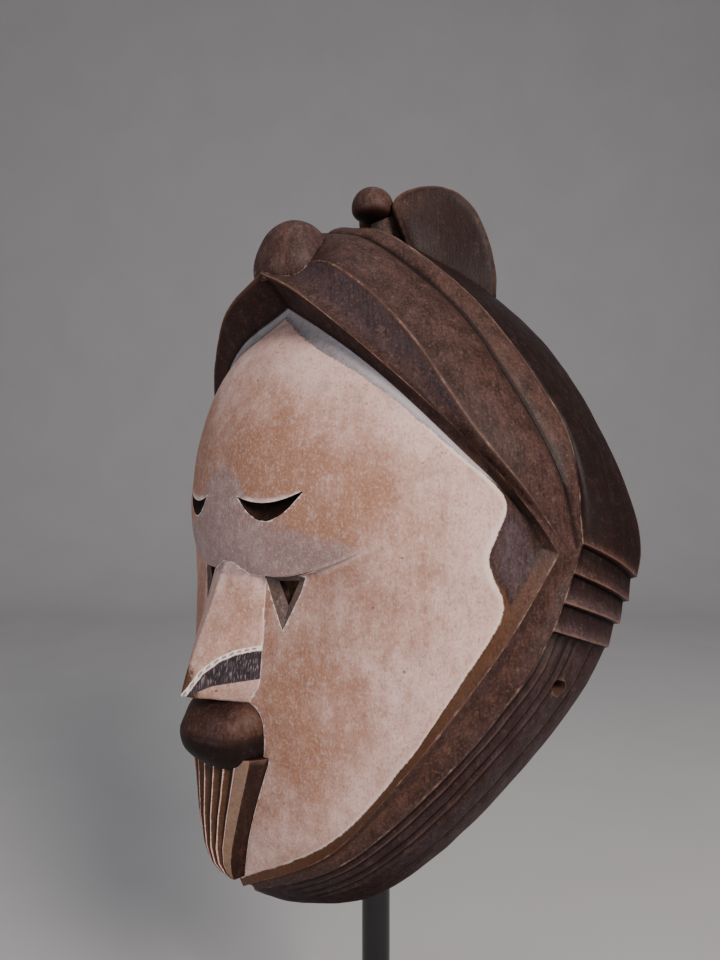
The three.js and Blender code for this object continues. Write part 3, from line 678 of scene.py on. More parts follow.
# The beard, as (height, half width, bulge) up from the chin: round in front, with ribs at these
# shares of its half width, and a bevel on each side from the edge out to the cheek.
BEARD_LEVELS = [(18.5, 2.6, 0.8), (22, 4, 4.6), (27, 6.1, 8.2), (34, 9.1, 10.4), (45, 13.8, 11.4),
                (67, 22.6, 11.4)]
BEARD_RIBS = (0, 0.275, 0.515, 0.71)
BEARD_EDGE = 0.9
BEARD_GROOVE = 1.5
# The ribs are white down to this share of the grooves, by so many mm for each share. The bevel's
# inner part is bare under a thin wash, and a close row of points keeps its edge crisp.
BEARD_WHITE = 0.2
BEARD_WHITE_SLOPE = 5
BEARD_WASH = 0.5
BEARD_EDGE_ROW = 0.06
BEARD_STAIN = (0.3, 0.8)
BEARD_ROWS = 44
BEARD_STEPS = 92
BEARD_TOP_Z = 68.5


def beard():
    """The beard: rings from the chin up, each with its outer planes, ribs and grooves."""
    z_of, half_of, bulge_of = np.array(BEARD_LEVELS, float).T
    ribs = np.array(BEARD_RIBS)
    cuts = (ribs[1:] + ribs[:-1]) / 2
    rings, whites, washes, stains = [], [], [], []
    for z in np.linspace(z_of[0], BEARD_TOP_Z, BEARD_ROWS):
        half = np.interp(z, z_of, half_of)
        bulge = np.interp(z, z_of, bulge_of)
        groove = min(BEARD_GROOVE, bulge / 4)
        edge_at = np.array((BEARD_EDGE * half, FACE_Y - bulge * math.sqrt(1 - BEARD_EDGE**2), z))
        past_edge = between(edge_at, np.array((half, FACE_Y, z)), BEARD_EDGE_ROW)
        ring = [(-half, BURIED_Y, z), (-half, FACE_Y, z), tuple(past_edge * (-1, 1, 1))]
        white, wash = [FIELDS["white"]] * 3, [0] * 3
        for share in np.linspace(-BEARD_EDGE, BEARD_EDGE, BEARD_STEPS + 1):
            i = np.abs(cuts - abs(share)).argmin()
            wide = (ribs[i + 1] - ribs[i]) / 2
            cut = max(0, 1 - (abs(abs(share) - cuts[i]) / wide) ** 1.3)
            ring.append((share * half, FACE_Y - bulge * math.sqrt(1 - share**2) + groove * cut, z))
            beyond = abs(share) > ribs[-1] + 0.03
            white.append(BARE if beyond else BEARD_WHITE_SLOPE * (BEARD_WHITE - cut) * min(1, half / 6))
            wash.append(BEARD_WASH * beyond)
        rings.append([*ring, tuple(past_edge), (half, FACE_Y, z), (half, BURIED_Y, z)])
        whites += [*white, *[FIELDS["white"]] * 3]
        washes += [*wash, *[0] * 3]
        front, side = BEARD_STAIN
        stains += [*[side] * 3, *[front] * len(wash[3:]), *[side] * 3]
    fields = {"white": whites, "wash": washes, "stain": stains, "tint": 0.8}
    return make_solid("beard", *ring_solid(rings), fields)


# The crest: two rounded flaps on edge that spread backwards, as (distance back from the crest's
# front, height), and in front of them a knot on a narrower neck.
CREST_FRONT_Y = -2.5
FLAP_ANGLE = 0.87
FLAP_THICKNESS = 15
FLAP_EDGE = 4.5
FLAP_FOOT = [(52.5, 238), (24, 252.5), (17, 254.5)]
FLAP_TOP = [(15.5, 261), (8, 281), (10.5, 285), (16, 288), (26, 289.5), (37, 286), (45, 277.5),
            (50.5, 264), (53, 250)]
# Each side of a flap is dished about this point, that far round and that deep, so its rim stands
# out. The stain is worn off about its front corner.
FLAP_DISH_AT = (30, 267)
FLAP_DISH_REACH = 13
FLAP_DISH = 1.6
FLAP_CORNER = (11, 281)
FLAP_WEAR_REACH = 7.5
# The knot keeps this share of its height below its middle. Its neck, as (y, radius, height).
KNOT = {"at": (0, -1.7, 281.4), "radii": (8.9, 8.9, 9.4), "across": 2.2, "front": 2.2, "end": 2.2}
KNOT_UNDERSIDE = 0.57
NECK = [(9, 7, 256), (8.5, 6.8, 266), (4.6, 6.2, 279)]


def knot():
    """The knot: a cap with a flatter underside, on its neck. Painted shade darkens its lower half
    and the neck.
    """
    def shaped(p):
        under = p[:, 2] < KNOT["at"][2]
        p[under, 2] = between(KNOT["at"][2], p[under, 2], KNOT_UNDERSIDE)
        return p

    # Painted shade on the knot's lower half.
    def fields(p):
        return {"stain": -0.1 + 1.3 * smooth((282 - p[:, 2]) / 6), "tint": 0.4}

    y_of, radius_of, z_of = np.array(NECK, float).T
    rings = [[(x, y + np.interp(z, z_of, y_of), z) for x, y in circle(np.interp(z, z_of, radius_of), 32)]
             for z in np.linspace(z_of[0], z_of[-1], 12)]
    # The neck: painted shade, under a thin wash of old white.
    neck = make_solid("neck", *ring_solid(rings), {"stain": 0.8, "wash": 0.24, "tint": 0.4})
    return combined(cushion("knot", KNOT, 4, fields, shaped), neck, "UNION")


def flap(side):
    """A flap of the crest, drawn flat and then turned to its side."""
    top = [FLAP_TOP[0], *along(FLAP_TOP[1:], np.linspace(0, len(FLAP_TOP) - 2, 40)).tolist()]
    rings = [[(u, w, z) for u, z in [*top, *FLAP_FOOT]] for w in (FLAP_THICKNESS / 2, -FLAP_THICKNESS / 2)]
    points, faces = worn_round(*ring_solid(rings), cell=1.3, passes=5, edge=FLAP_EDGE)
    side_on = points[:, ::2]
    middle = np.exp(-(((side_on - FLAP_DISH_AT) / FLAP_DISH_REACH) ** 2).sum(1))
    points[:, 1] -= np.sign(points[:, 1]) * FLAP_DISH * middle
    worn = np.exp(-np.linalg.norm(side_on - FLAP_CORNER, axis=1) / FLAP_WEAR_REACH)
    way = np.array((side * math.cos(FLAP_ANGLE), math.sin(FLAP_ANGLE), 0))
    over = np.array((-side * math.sin(FLAP_ANGLE), math.cos(FLAP_ANGLE), 0))
    up = np.array((0, 0, 1))
    placed = points[:, :1] * way + points[:, 1:2] * over + points[:, 2:] * up + (0, CREST_FRONT_Y, 0)
    # The flap's thick stain is partly painted shade; its front corner is worn paler.
    fields = {"stain": 1.15 - 1.2 * worn, "tint": 0.4}
    return make_solid("flap", placed, faces if side > 0 else [f[::-1] for f in faces], fields)


# Each eye: a shallow triangular bevel that leads to a smaller triangular hole. The tool for the
# bevel runs on past the face, to this many times the bevel's slope.
EYE_BEVEL = [(18.4, -66.4, 130.6), (39.8, -62.5, 133.7), (26.8, -66.3, 113.6)]
EYE_HOLE = [(21.8, -64.3, 129.6), (31.7, -62.5, 130.5), (26.7, -63.8, 121.3)]
EYE_OPENING = 1.5


def eye_bevel(side):
    """The tool that cuts an eye's bevel."""
    wide = between(np.array(EYE_HOLE), np.array(EYE_BEVEL), EYE_OPENING)
    form = hull([(side * x, y, z) for x, y, z in [*wide, *EYE_HOLE]])
    return make_solid("eye_bevel", *form, {"white": BARE, "wash": 0.27, "stain": 0.15, "tint": 0.6})


def eye_hole(side):
    """The tool that cuts an eye's hole through the wall."""
    form = hull([(side * x, y, z) for x, _, z in EYE_HOLE for y in (FACE_Y - 3, BURIED_Y + 15)])
    return make_solid("eye_hole", *form, {"stain": 1})


# The hollow over each eye: sickle-shaped, undercut above and running out below.
SICKLE_AT = (24.6, 160.2)
SICKLE_LENGTH = 28
SICKLE_TOP = 3
SICKLE_BOTTOM = 9.4
SICKLE_DEPTH = 4.2
SICKLE_TILT = 0.85
SICKLE_LIP = 1
# From its upper edge down, as (share of the height, share of the depth). A depth below 0 is in mm,
# out in front of the face.
SICKLE_PROFILE = ((0, -2.5), (0.02, 0.75), (0.1, 1), (0.35, 0.85), (0.7, 0.45), (0.95, 0), (1.1, -2.5))


def sickle_top(x):
    """The height of a sickle's upper edge, and how far along it x is (1 at each end)."""
    t = (x - SICKLE_AT[0]) / SICKLE_LENGTH * 2
    return SICKLE_AT[1] - SICKLE_TOP * (1 - t * t) + SICKLE_TILT * t, np.abs(t)


def sickle_cut(side, front_at):
    """The gouge that makes a sickle: rings across it, from its inner point to its outer point."""
    rings = []
    for t in np.linspace(-1, 1, 33):
        x = SICKLE_AT[0] + t * SICKLE_LENGTH / 2
        open_by = max(0.04, 1 - t * t)
        top = sickle_top(x)[0]
        low = top - (SICKLE_BOTTOM - SICKLE_TOP) * open_by
        ring = []
        for share, deep in SICKLE_PROFILE:
            z = between(top, low, share)
            into = deep if deep < 0 else deep * SICKLE_DEPTH * open_by**0.6
            ring.append((side * x, front_at(x, z) + into, z))
        # Its faces look outwards on both sides, or it would cut nothing.
        rings.append(ring[::-side])
    return make_solid("sickle_cut", *ring_solid(rings), {"stain": 1.2, "tint": 0.6})


# The tie holes behind the jaw: at this section, and this share of the way from ridge to rim.
TIE_SECTION = 6.62
TIE_SHARE = 0.47
TIE_DIAMETER = 5.5
TIE_REACH = 20


def tie_bore(side):
    """The tool that cuts a round hole through the wall, square to it."""
    s = np.array([TIE_SECTION])
    at = band_lines(s)
    out = outward(at["ridge"], at["rim"], s, "ridge")[0]
    middle = between(at["ridge"][0], at["rim"][0], TIE_SHARE)
    turn = Vector((0, 0, 1)).rotation_difference(Vector(out)).to_matrix()
    rings = []
    for z in (-TIE_REACH, TIE_REACH):
        ring = [turn @ Vector((x, y, z)) for x, y in circle(TIE_DIAMETER / 2, 28)]
        rings.append([(np.array(p) + middle) * (side, 1, 1) for p in ring][::side])
    return make_solid("tie_bore", *ring_solid(rings), {"stain": 1})


def block(size, middle, fields):
    """A box of that size in mm, to cut with."""
    bm = bmesh.new()
    bmesh.ops.create_cube(bm, size=1, matrix=Matrix.Translation(middle) @ Matrix.Diagonal((*size, 1)))
    return make_solid("block", *taken(bm), fields)


def block_behind(y):
    """All that lies behind an upright plane at y."""
    return block((300, 200, 700), (0, y + 100, 150), {"white": NEVER_WHITE, "inner": 1})


def block_below(z):
    """All that lies below a level."""
    return block((300, 300, 200), (0, 0, z - 100), {"stain": 0.6})


def combined(body, tool, operation):
    """The body joined with, or cut by, the tool. The corners' fields go with the surfaces."""
    step = body.modifiers.new("step", "BOOLEAN")
    step.operation, step.object, step.solver = operation, tool, "MANIFOLD"
    made = settled(body)
    body.modifiers.remove(step)
    body.data = made
    bpy.data.objects.remove(tool)
    return body


def front_of(body):
    """A function that gives the y of the body's front at (x, z), in mm."""
    tree = bvhtree.BVHTree.FromObject(body, bpy.context.evaluated_depsgraph_get())
    return lambda x, z: tree.ray_cast(Vector((x, -200, z + MASK_Z)) * MM, Vector((0, 1, 0)))[0].y / MM


def carved():
    """The whole mask: the shell with what stands out of it joined on, and the openings cut."""
    body = shell()
    front_at = front_of(body)
    for piece in (nose(), lips(), bun(), beard(), knot(), flap(1), flap(-1)):
        combined(body, piece, "UNION")
    combined(body, block_behind(RIM_BACK_Y), "DIFFERENCE")
    for side in (1, -1):
        for cut in (eye_bevel(side), eye_hole(side), sickle_cut(side, front_at), tie_bore(side)):
            combined(body, cut, "DIFFERENCE")
    return body


# The unevenness that the knife leaves: (wavelength, height) in mm.
KNIFE_MARKS = ((34, 0.5), (11, 0.2), (4.5, 0.08))
# The hollow's gouge marks: scoops that long each way, and that deep.
GOUGE = (15, 15, 26)
GOUGE_DEPTH = 1.3
# A join shows where the white ends within it by more than this many mm.
SEAM_STEP = 6
# Where the white is rubbed down to warm wood: (x, z, half width, half height, how much).
RUBBED = ((22, 172, 26, 19, 1), (54, 152, 20, 17, 0.8), (40, 106, 17, 30, 0.9), (30, 62, 17, 30, 0.9),
          (0, 208, 18, 16, 0.5), (8, 112, 14, 24, 1))
# The painted shade under each brow reaches up to these heights, at (x, z).
BROW_SHADE_TOP = ((0, 10, 20, 40, 62), (172, 166, 151, 147, 143))
# The nose's ridge stands out of that shade.
BROW_SHADE_FRONT_Y = -76
# How fully low the surface is where it bends in, for each unit of slope.
LOW_GAIN = 6
SHARP_ANGLE = math.radians(38)


def write(mesh, name, values):
    """Keeps a value at each point of a mesh, for its material."""
    layer = mesh.attributes.new(name, "FLOAT", "POINT")
    layer.data.foreach_set("value", np.asarray(values, np.float32))


def bend_of(ends, places, normals):
    """How far each point's neighbours rise over it, for each mm that they are away, evened out a
    little between them."""
    way = places[ends[:, 1]] - places[ends[:, 0]]
    length = np.maximum(np.linalg.norm(way, axis=1), 0.3)
    count = np.maximum(np.bincount(ends.ravel(), minlength=len(places)), 1)
    bend, around = np.zeros(len(places)), np.zeros(len(places))
    for here, sign in ((0, 1), (1, -1)):
        lean = sign * (way * normals[ends[:, here]]).sum(1) / length
        bend += np.bincount(ends[:, here], lean, len(places))
    bend /= count
    for here in (0, 1):
        around += np.bincount(ends[:, here], bend[ends[:, 1 - here]], len(places))
    return 0.6 * bend + 0.4 * around / count


def weathered(body):
    """Moves the surface a little, as hand carving does, and notes at each point how low it lies, how
    near it is to a join between two forms, where the white is rubbed warm or whitest at its rim, where
    shade is painted under the brow, and where highlights are painted on the sickles' lips and along
    the brow's crease."""
    mesh = body.data
    places = read(mesh.vertices, "co", np.float32, 3).astype(float) / MM - (0, 0, MASK_Z)
    normals = read(mesh.vertex_normals, "vector", np.float32, 3).astype(float)
    corners = read(mesh.loops, "vertex_index", np.int32)
    inside, white = (read(mesh.attributes[name].data, "value", np.float32) for name in ("inner", "white"))
    inner, most, least = (np.full(len(places), usual) for usual in (0.0, -1e3, 1e3))
    np.maximum.at(inner, corners, inside)
    np.maximum.at(most, corners, white)
    np.minimum.at(least, corners, white)

    moved = np.zeros(len(places))
    for wave, height in KNIFE_MARKS:
        moved += height * np.array([noise.noise(Vector(p / wave + (7.3, 1.9, 4.1))) for p in places])
    for i in np.nonzero(inner > 0.5)[0]:
        near = noise.voronoi(Vector(places[i] / GOUGE), distance_metric="DISTANCE")[0][0]
        moved[i] = GOUGE_DEPTH * min(1, near) ** 2 - 0.5 * GOUGE_DEPTH

    x, z = np.abs(places[:, 0]), places[:, 2]
    rubbed = sum(much * np.exp(-((x - at_x) / wide) ** 2 - ((z - at_z) / tall) ** 2)
                 for at_x, at_z, wide, tall, much in RUBBED)
    over = z - crease_z(x)
    # Painted grey shade on the brow's underside, above the crease.
    under_brow = smooth((np.interp(x, *BROW_SHADE_TOP) + 4 - z) / 9) * smooth((over + 2) / 3)
    under_brow *= 1 - smooth((x - 46) / 22)
    sickle_z, end = sickle_top(x)
    # A painted highlight along each sickle's upper lip.
    lip = 0.7 * np.exp(-((z - sickle_z - 0.5) / SICKLE_LIP) ** 2) * (1 - smooth((end - 0.5) / 0.5))
    border_width = 0.3 + np.exp(-((z - 142) / 32) ** 2)
    border = smooth((200 - z) / 30) * (1 - smooth((most - border_width) / 1.2)) * smooth((x - 16) / 10)
    # A painted light line along the brow's crease, over the shade of its step.
    crease_light = 0.4 * np.exp(-((over + 0.4) / 2.2) ** 2)
    crease_light *= smooth((x - 36) / 6) * (1 - smooth((x - 56) / 14))
    moved_to = places + normals * moved[:, None] + (0, 0, MASK_Z)
    mesh.vertices.foreach_set("co", (moved_to * MM).astype(np.float32).ravel())
    bend = bend_of(read(mesh.edges, "vertices", np.int32, 2), places, normals)
    write(mesh, "low", np.clip(bend * LOW_GAIN, -1, 1))
    write(mesh, "seam", (most - least > SEAM_STEP) & (inner < 0.5))
    write(mesh, "warm", (0.5 * smooth((most - 5) / 24) + 0.6 * np.clip(rubbed, 0, 1)) * (1 - lip))
    # Painted shade under the brow, though not on the nose's ridge.
    write(mesh, "brow_shade", under_brow * (1 - lip) * (places[:, 1] > BROW_SHADE_FRONT_Y))
    # Painted highlights on the sickles' lips and along the crease, and the whitest rim of the white.
    write(mesh, "highlight_and_white_rim", np.maximum(np.maximum(lip * (end < 1), crease_light), 0.8 * border))
    smooth_shaded(mesh, SHARP_ANGLE)
    mesh.update()
    return body


def linear(text):
    """A colour from its sRGB hex, as linear light."""
    values = [int(text[i:i + 2], 16) / 255 for i in (0, 2, 4)]
    return (*(v / 12.92 if v <= 0.04045 else ((v + 0.055) / 1.055) ** 2.4 for v in values), 1)


def add(tree, kind, *inputs, output=0, **settings):
    """A node of that kind with its settings. Its inputs come in order, each a value, a colour's hex
    or another node's output, or None where the usual value stays."""
    made = tree.nodes.new("ShaderNode" + kind)
    for name, value in settings.items():
        setattr(made, name, value)
    for socket, value in zip(made.inputs, inputs):
        if isinstance(value, bpy.types.NodeSocket):
            tree.links.new(value, socket)
        elif value is not None:
            socket.default_value = linear(value) if isinstance(value, str) else value
    return made.outputs[output]


def new_material(name):
    """A material, its node tree and its surface shader."""
    material = bpy.data.materials.new(name)
    material.use_nodes = True
    return material, material.node_tree, material.node_tree.nodes["Principled BSDF"]


# The mask's marks that vary from place to place, as (size in mm, how many times longer with the
# grain, detail, roughness). The wood's pores are drawn at three times their real width, to show.
MARKS = {"cloud": (24, 1, 3, 0.5), "blotch": (7, 1, 4, 0.6), "patch": (3.2, 1, 3, 0.6),
         "speck": (0.9, 1, 2, 0.6), "streak": (3.4, 8, 3, 0.55), "pore": (1, 8, 2, 0.6),
         # Scratches are dark, or pale strokes painted as glints of the kaolin's sheen.
         "scratch_and_glint": (0.6, 2.5, 1, 0.5)}
PIT_SPACING = 10
# Sums that more than one coat goes by: a field, and the share of each mark that is added to it.
SUMS = {"stained_and_shaded": ("stain", ("blotch", 0.6), ("streak", 1.2)),
        "tinted": ("tint", ("cloud", 1.6), ("patch", 0.8)),
        "worn": ("low", ("blotch", 0.6), ("speck", 0.4)),
        "by_ridge": ("ridge", ("blotch", 2.6), ("patch", 1), ("speck", 0.9)),
        "by_groove": ("groove", ("blotch", 2.5)),
        "by_seam": ("seam", ("blotch", 1.2), ("speck", 0.8)),
        "by_edge": ("white", ("blotch", 1.2), ("speck", 0.8)),
        "by_crease": ("stain", ("stain", -2), ("tint", -0.8), ("seam", 1), ("blotch", 1.6), ("speck", 0.8)),
        "washed": ("wash", ("patch", 0.35), ("speck", 0.3)),
        "brow_shade_mottled": ("brow_shade", ("cloud", 0.8), ("blotch", 2), ("patch", 0.6), ("speck", 0.6)),
        "rubbed": ("warm", ("cloud", 2), ("blotch", 1), ("streak", 0.7))}
# The nose's band: its strokes' width in mm and that over their length, and the dashes' spacing in
# mm. A band wave of scale 1 repeats after this length.
STROKE_WIDTH, STROKE_STRETCH = 0.36, 0.16
DASH_SPACING = 2.6
WAVE_LENGTH = 0.314
RELIEF_DEPTH = 0.4


def whitened_carved_hardwood():
    """African hardwood, carved with a knife, stained dark brown and handled to a satin shine. The
    face is whitened with kaolin, which is chalky, worn through to warm wood in patches."""
    material, tree, shader = new_material("whitened_carved_hardwood")
    at = {name: add(tree, "Attribute", output="Fac", attribute_name=name)
          for name in (*FIELDS, "low", "seam", "warm", "brow_shade", "highlight_and_white_rim")}
    mm = add(tree, "VectorMath", add(tree, "TexCoord", output="Object"), PER_METRE, operation="MULTIPLY")
    for name, (size, longer, detail, roughness) in MARKS.items():
        place = add(tree, "VectorMath", mm, (1, 1, 1 / longer), operation="MULTIPLY")
        mark = add(tree, "TexNoise", place, None, 1 / size, detail, roughness)
        at[name] = add(tree, "Math", mark, 0.5, operation="SUBTRACT")
    for name, (first, *marks) in SUMS.items():
        at[name] = at[first]
        for mark, share in marks:
            at[name] = add(tree, "Math", at[mark], share, at[name], operation="MULTIPLY_ADD")
    at["by_crease"] = add(tree, "Math", at["by_crease"], at["by_seam"], operation="MINIMUM")

    def coats(ground, *layers):
        """Colours laid one over the other, each as (what it goes by, where it starts, where it is
        full, how much it covers, its colour)."""
        for by, start, full, most, colour in layers:
            share = add(tree, "MapRange", at[by], start, full, 0, most, interpolation_type="SMOOTHSTEP")
            ground = add(tree, "MixRGB", share, ground, colour)
        return ground

    # Stained wood: dark in its pores, along the hair's groove and where the stain lies thick, with painted
    # shade where the surface bends in and wherever the stain carries it, paler along ridges as wear and
    # as painted highlight, golden where the stain is thin, and greyed by old white in its creases.
    wood = coats("33211d",
                 ("blotch", -0.18, 0.22, 1, "4f3833"), ("streak", 0.02, 0.25, 0.45, "624840"),
                 ("tinted", -0.1, -0.9, 0.6, "463b40"), ("tinted", 0.2, 1.2, 0.6, "5f3f2d"),
                 ("tinted", -0.8, -1.4, 0.8, "65575a"), ("patch", 0.05, 0.26, 0.35, "70544c"),
                 ("speck", 0.03, 0.2, 0.3, "755b51"), ("speck", -0.03, -0.2, 0.4, "1d110e"),
                 ("pore", 0.05, 0.2, 0.5, "1d110e"), ("stained_and_shaded", 0, -0.6, 0.6, "7d6056"),
                 ("stained_and_shaded", 0.1, 1, 0.8, "20110f"), ("stained_and_shaded", 1, 1.7, 0.75, "100807"),
                 ("worn", -0.4, -1, 0.45, "7a5c4e"),
                 # Painted shade where the surface bends in, darker along the hair's groove, and paler along
                 # ridges as wear and painted highlight.
                 ("low", 0.12, 0.6, 0.75, "170d0b"), ("by_groove", 2.2, 0.3, 0.75, "170d0b"),
                 ("by_ridge", 0.25, -0.35, 0.6, "957a6c"), ("by_crease", 0.5, 1, 0.6, "a89890"))
    bare = coats("4a3728", ("blotch", -0.2, 0.2, 1, "6b533f"), ("pore", -0.02, 0.2, 0.6, "32231a"),
                 ("low", -0.05, -0.5, 0.4, "866b53"))
    thin = coats("b3abae", ("tinted", 0.1, 0.8, 1, "b0937f"))
    wood = coats(wood, ("inner", 0.4, 0.6, 1, bare), ("washed", 0, 1, 1, thin))

    # Kaolin: whitest along its edges, rubbed to a warm tan on the brow and cheeks, with painted grey shade
    # under the brow, fine brush marks, dark scratches and pits, pale flecks and strokes painted as glints
    # of its sheen, and painted highlights on the sickles' upper lips and along the brow's crease.
    pits = add(tree, "TexVoronoi", mm, None, 1 / PIT_SPACING)
    at["pit"] = add(tree, "Math", at["patch"], 0.12, pits, operation="MULTIPLY_ADD")
    clay = coats("d8b5ab",
                 ("rubbed", -0.25, 1.25, 0.95, "9f7159"), ("streak", 0, 0.28, 0.25, "b98f7d"),
                 # Painted grey shade under the brow.
                 ("brow_shade_mottled", 0.15, 0.85, 0.75, "978383"), ("patch", 0, 0.25, 0.22, "ecd3ca"),
                 # Pale flecks and pale strokes are painted glints of the kaolin's sheen.
                 ("patch", -0.02, -0.25, 0.35, "8f6858"), ("speck", 0.02, 0.22, 0.25, "ecd6cc"),
                 ("speck", -0.02, -0.22, 0.35, "83594a"), ("scratch_and_glint", 0.08, 0.22, 0.3, "7f5a4a"),
                 ("scratch_and_glint", -0.12, -0.24, 0.2, "f6e6de"), ("pit", 0.07, 0.03, 0.65, "50342a"))
    # Painted highlights on the sickles' lips and along the crease, the whitest rim of the white, and old
    # white along the joins.
    clay = coats(clay, ("highlight_and_white_rim", 0.1, 0.8, 0.7, "efdad0"), ("by_seam", 0.25, 0.7, 0.75, "efe0d8"))
    covered = add(tree, "MapRange", at["by_edge"], -0.3, 0.35, interpolation_type="SMOOTHSTEP")
    halo = coats(wood, ("by_edge", -5.5, -1, 0.45, "5f4129"))
    wood = coats(wood, ("tinted", 0.1, 0.8, 1, halo))
    colour = add(tree, "MixRGB", covered, wood, clay)

    # The nose's dark band: slate grey with fine white strokes, under two white lines with dashes
    # between them.
    crosswise = add(tree, "Math", at["band_up"], STROKE_STRETCH, operation="MULTIPLY")
    along_band = add(tree, "CombineXYZ", at["band_run"], crosswise)
    at["stroke"] = add(tree, "TexNoise", along_band, None, 1 / STROKE_WIDTH, 1)
    at["dash"] = add(tree, "TexWave", along_band, WAVE_LENGTH / DASH_SPACING, output="Fac",
                     wave_type="BANDS", bands_direction="X")
    at["up"] = add(tree, "Math", at["speck"], 0.6, at["band_up"], operation="MULTIPLY_ADD")
    slate = coats("2e262a", ("patch", -0.1, 0.2, 0.7, "4a4046"), ("stroke", 0.52, 0.72, 0.5, "a89c9b"))
    lines = coats("ecdfd8", ("dash", 0.25, 0.5, 0.75, "6b5148"))
    banded = coats(colour, ("up", 0.05, -0.1, 1, slate), ("up", 0.02, 0.14, 0.85, "ecdfd8"))
    banded = coats(banded, ("up", 0.55, 0.67, 1, lines), ("up", 1.25, 1.37, 0.85, "ecdfd8"),
                   ("up", 1.75, 1.9, 1, colour))
    colour = coats(colour, ("band_in", 0.2, 0.6, 1, banded))
    tree.links.new(colour, shader.inputs["Base Color"])

    shine = add(tree, "MapRange", covered, 0, 1, 0.5, 0.6)
    shine = add(tree, "Math", at["blotch"], 0.3, shine, operation="MULTIPLY_ADD")
    shine = add(tree, "Math", at["inner"], 0.3, shine, operation="MULTIPLY_ADD")
    tree.links.new(shine, shader.inputs["Roughness"])
    shader.inputs["Specular IOR Level"].default_value = 0.14
    height = add(tree, "Math", covered, 0.6, operation="MULTIPLY")
    for mark, share in (("pore", -0.35), ("speck", 0.3), ("patch", 0.3), ("streak", 0.3), ("scratch_and_glint", -0.3)):
        height = add(tree, "Math", at[mark], share, height, operation="MULTIPLY_ADD")
    tree.links.new(add(tree, "Bump", 0.45, RELIEF_DEPTH * MM, None, height), shader.inputs["Normal"])
    return material


mask = weathered(carved())
mask.name = "carved_mask"
mask.data.materials.clear()
mask.data.materials.append(whitened_carved_hardwood())
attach(mask, "root")
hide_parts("mask")


# The stand: a rod up into the hollow with a strut to the chin, on a heavy flat base.
BASE_SIZE = (150, 140, 12)
BASE_CORNER = 6
BASE_BEVEL = 1
ROD_DIAMETER = 12
ROD_TOP_Z = 252.5
STRUT_DIAMETER = 8
STRUT_Z = 40
STRUT_END_Y = -57
STEEL_SHARP_ANGLE = math.radians(30)
# The weld round the rod's foot, as (how far out, how far up). The strut starts that far inside the
# rod, and its end is worn, as (share of its radius, how far from its tip).
WELD = ((1.6, 0), (0.8, 0.5), (0, 1.6))
STRUT_INSIDE = 1.2
STRUT_TIP = ((1, 1), (0.9, 0.3), (0.7, 0))
PEEL_SIZE = 2.2
PEEL_DEPTH = 0.05
DUST_SIZE = 16


def black_enamelled_steel():
    """Mild steel with sprayed black enamel: deep gloss, with a faint orange peel and fine dust."""
    material, tree, shader = new_material("black_enamelled_steel")
    mm = add(tree, "VectorMath", add(tree, "TexCoord", output="Object"), PER_METRE, operation="MULTIPLY")
    peel = add(tree, "TexNoise", mm, None, 1 / PEEL_SIZE, 2)
    dust = add(tree, "TexNoise", mm, None, 1 / DUST_SIZE, 5)
    tree.links.new(add(tree, "MixRGB", dust, "09090b", "17161a"), shader.inputs["Base Color"])
    tree.links.new(add(tree, "MapRange", dust, 0.35, 0.7, 0.2, 0.3), shader.inputs["Roughness"])
    tree.links.new(add(tree, "Bump", 0.25, PEEL_DEPTH * MM, None, peel), shader.inputs["Normal"])
    return material


enamel = black_enamelled_steel()


def stand_piece(name, points, faces, node, edge):
    """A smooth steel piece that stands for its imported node."""
    made = drawn(name, np.asarray(points) * MM, faces)
    if edge:
        bevelled(made, edge * MM)
        made.data = settled(made)
        made.modifiers.clear()
    smooth_shaded(made.data, STEEL_SHARP_ANGLE)
    made.data.materials.append(enamel)
    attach(made, "root")
    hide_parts(node)


def base_plate():
    """The base: a plate with round corners and a bevelled edge."""
    long, wide, thick = BASE_SIZE
    ring = []
    for i, (sx, sy) in enumerate(((1, 1), (-1, 1), (-1, -1), (1, -1))):
        for a in np.linspace(i * math.pi / 2, (i + 1) * math.pi / 2, 9):
            ring.append((sx * (long / 2 - BASE_CORNER) + BASE_CORNER * math.cos(a),
                         sy * (wide / 2 - BASE_CORNER) + BASE_CORNER * math.sin(a)))
    points, faces = ring_solid([[(x, y, z) for x, y in ring] for z in (0, thick)])
    stand_piece("base_plate", points, faces, "stand_base", BASE_BEVEL)


def rod():
    """The upright with its weld at the foot, and the strut from it to the chin's inside."""
    radius = ROD_DIAMETER / 2
    top = MASK_Z + ROD_TOP_Z
    profile = [*((radius + out, BASE_SIZE[2] + up) for out, up in WELD), (radius, top - radius)]
    profile += [(radius * math.cos(a), top - radius + radius * math.sin(a))
                for a in np.linspace(0.15, 1.5, 9)]
    rings = [[(x, y, z) for x, y in circle(r, 64)] for r, z in profile]
    stand_piece("stand_upright", *ring_solid(rings), "stand_rod", 0)
    strut = [(1, STRUT_INSIDE - radius), *((r, STRUT_END_Y + inwards) for r, inwards in STRUT_TIP)]
    rings = [[(x, y, z + MASK_Z + STRUT_Z) for x, z in circle(STRUT_DIAMETER / 2 * r, 40)]
             for r, y in strut]
    stand_piece("stand_strut", *ring_solid(rings), "stand_rod", 0)


base_plate()
rod()


# The camera stands level at the photograph's angle, and the light is that of a small studio.
VIEW_TURN = math.radians(50)
VIEW_DISTANCE = 306
AIM = Vector((0, -9, 287)) * MM
LENS_LENGTH = 27.04
SENSOR_WIDTH = 36
TOWARDS = Vector((math.sin(VIEW_TURN), -math.cos(VIEW_TURN), 0))
RIGHT = Vector((math.cos(VIEW_TURN), math.sin(VIEW_TURN), 0))
UP = Vector((0, 0, 1))


def placed(name, data, at):
    """An object at a point, looking at the middle of the mask."""
    made = shown(name, data)
    made.location = at
    made.rotation_euler = (AIM - Vector(at)).to_track_quat("-Z", "Y").to_euler()
    return made


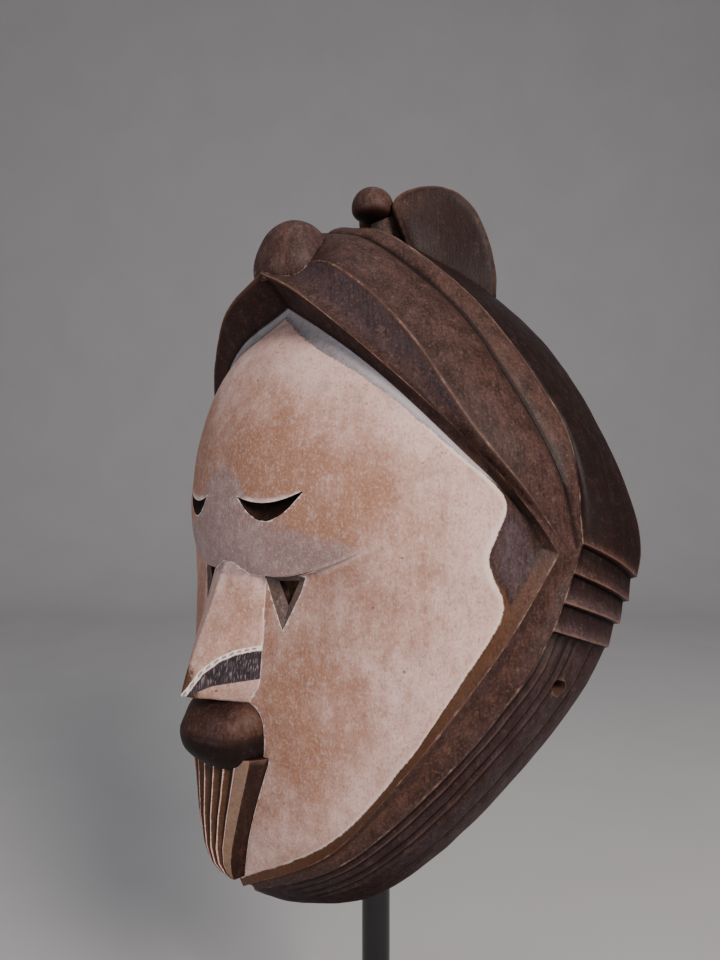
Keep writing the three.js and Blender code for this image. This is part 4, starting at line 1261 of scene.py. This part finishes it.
lens = bpy.data.cameras.new("camera")
lens.lens, lens.sensor_width, lens.clip_start = LENS_LENGTH, SENSOR_WIDTH, 0.01
bpy.context.scene.camera = placed("camera", lens, AIM + TOWARDS * VIEW_DISTANCE * MM)


def lamp(name, towards, right, up, size, power, colour):
    """A round lamp, so far from the mask's middle: towards the camera, to its right and up. Those and
    its size are in metres, and its power is in watts."""
    light = bpy.data.lights.new(name, "AREA")
    light.shape, light.size, light.energy, light.color = "DISK", size, power, linear(colour)[:3]
    placed(name, light, AIM + TOWARDS * towards + RIGHT * right + UP * up)


lamp("key", 0.85, 0.5, 0.5, 0.4, 13, "fff4ee")
lamp("fill", 0.8, -0.9, 0.15, 0.9, 3.5, "f3f5ff")
lamp("top", 0.15, 0.1, 1.1, 0.6, 1.6, "ffffff")
world = bpy.data.worlds.new("studio")
world.use_nodes = True
world.node_tree.nodes["Background"].inputs["Color"].default_value = linear("dcdde0")
world.node_tree.nodes["Background"].inputs["Strength"].default_value = 0.3
bpy.context.scene.world = world


# The floor in metres, from in front of the part to behind it, then round the sweep and up.
FLOOR_FROM, FLOOR_TO = -2, 1.2
SWEEP = 0.6
SWEEP_TOP = 2.5
FLOOR_HALF_WIDTH = 8


def floor():
    """A pale floor that sweeps up behind the part."""
    rows = [(FLOOR_FROM, 0), (FLOOR_TO, 0)]
    rows += [(FLOOR_TO + SWEEP * math.sin(a), SWEEP - SWEEP * math.cos(a))
             for a in np.linspace(0.1, math.pi / 2, 12)]
    rows += [(FLOOR_TO + SWEEP, SWEEP_TOP)]
    points, faces = [], []
    for i, (back, up) in enumerate(rows):
        for side in (-FLOOR_HALF_WIDTH, FLOOR_HALF_WIDTH):
            points.append(RIGHT * side - TOWARDS * back + UP * up)
        if i:
            faces.append((2 * i - 2, 2 * i - 1, 2 * i + 1, 2 * i))
    made = drawn("floor", points, faces)
    smooth_shaded(made.data)
    material, tree, shader = new_material("matt_grey_card")
    speck = add(tree, "TexNoise", add(tree, "TexCoord", output="Object"), None, 8, 3)
    tree.links.new(add(tree, "MixRGB", speck, "c4c3c4", "cecdce"), shader.inputs["Base Color"])
    shader.inputs["Roughness"].default_value = 0.9
    made.data.materials.append(material)


floor()
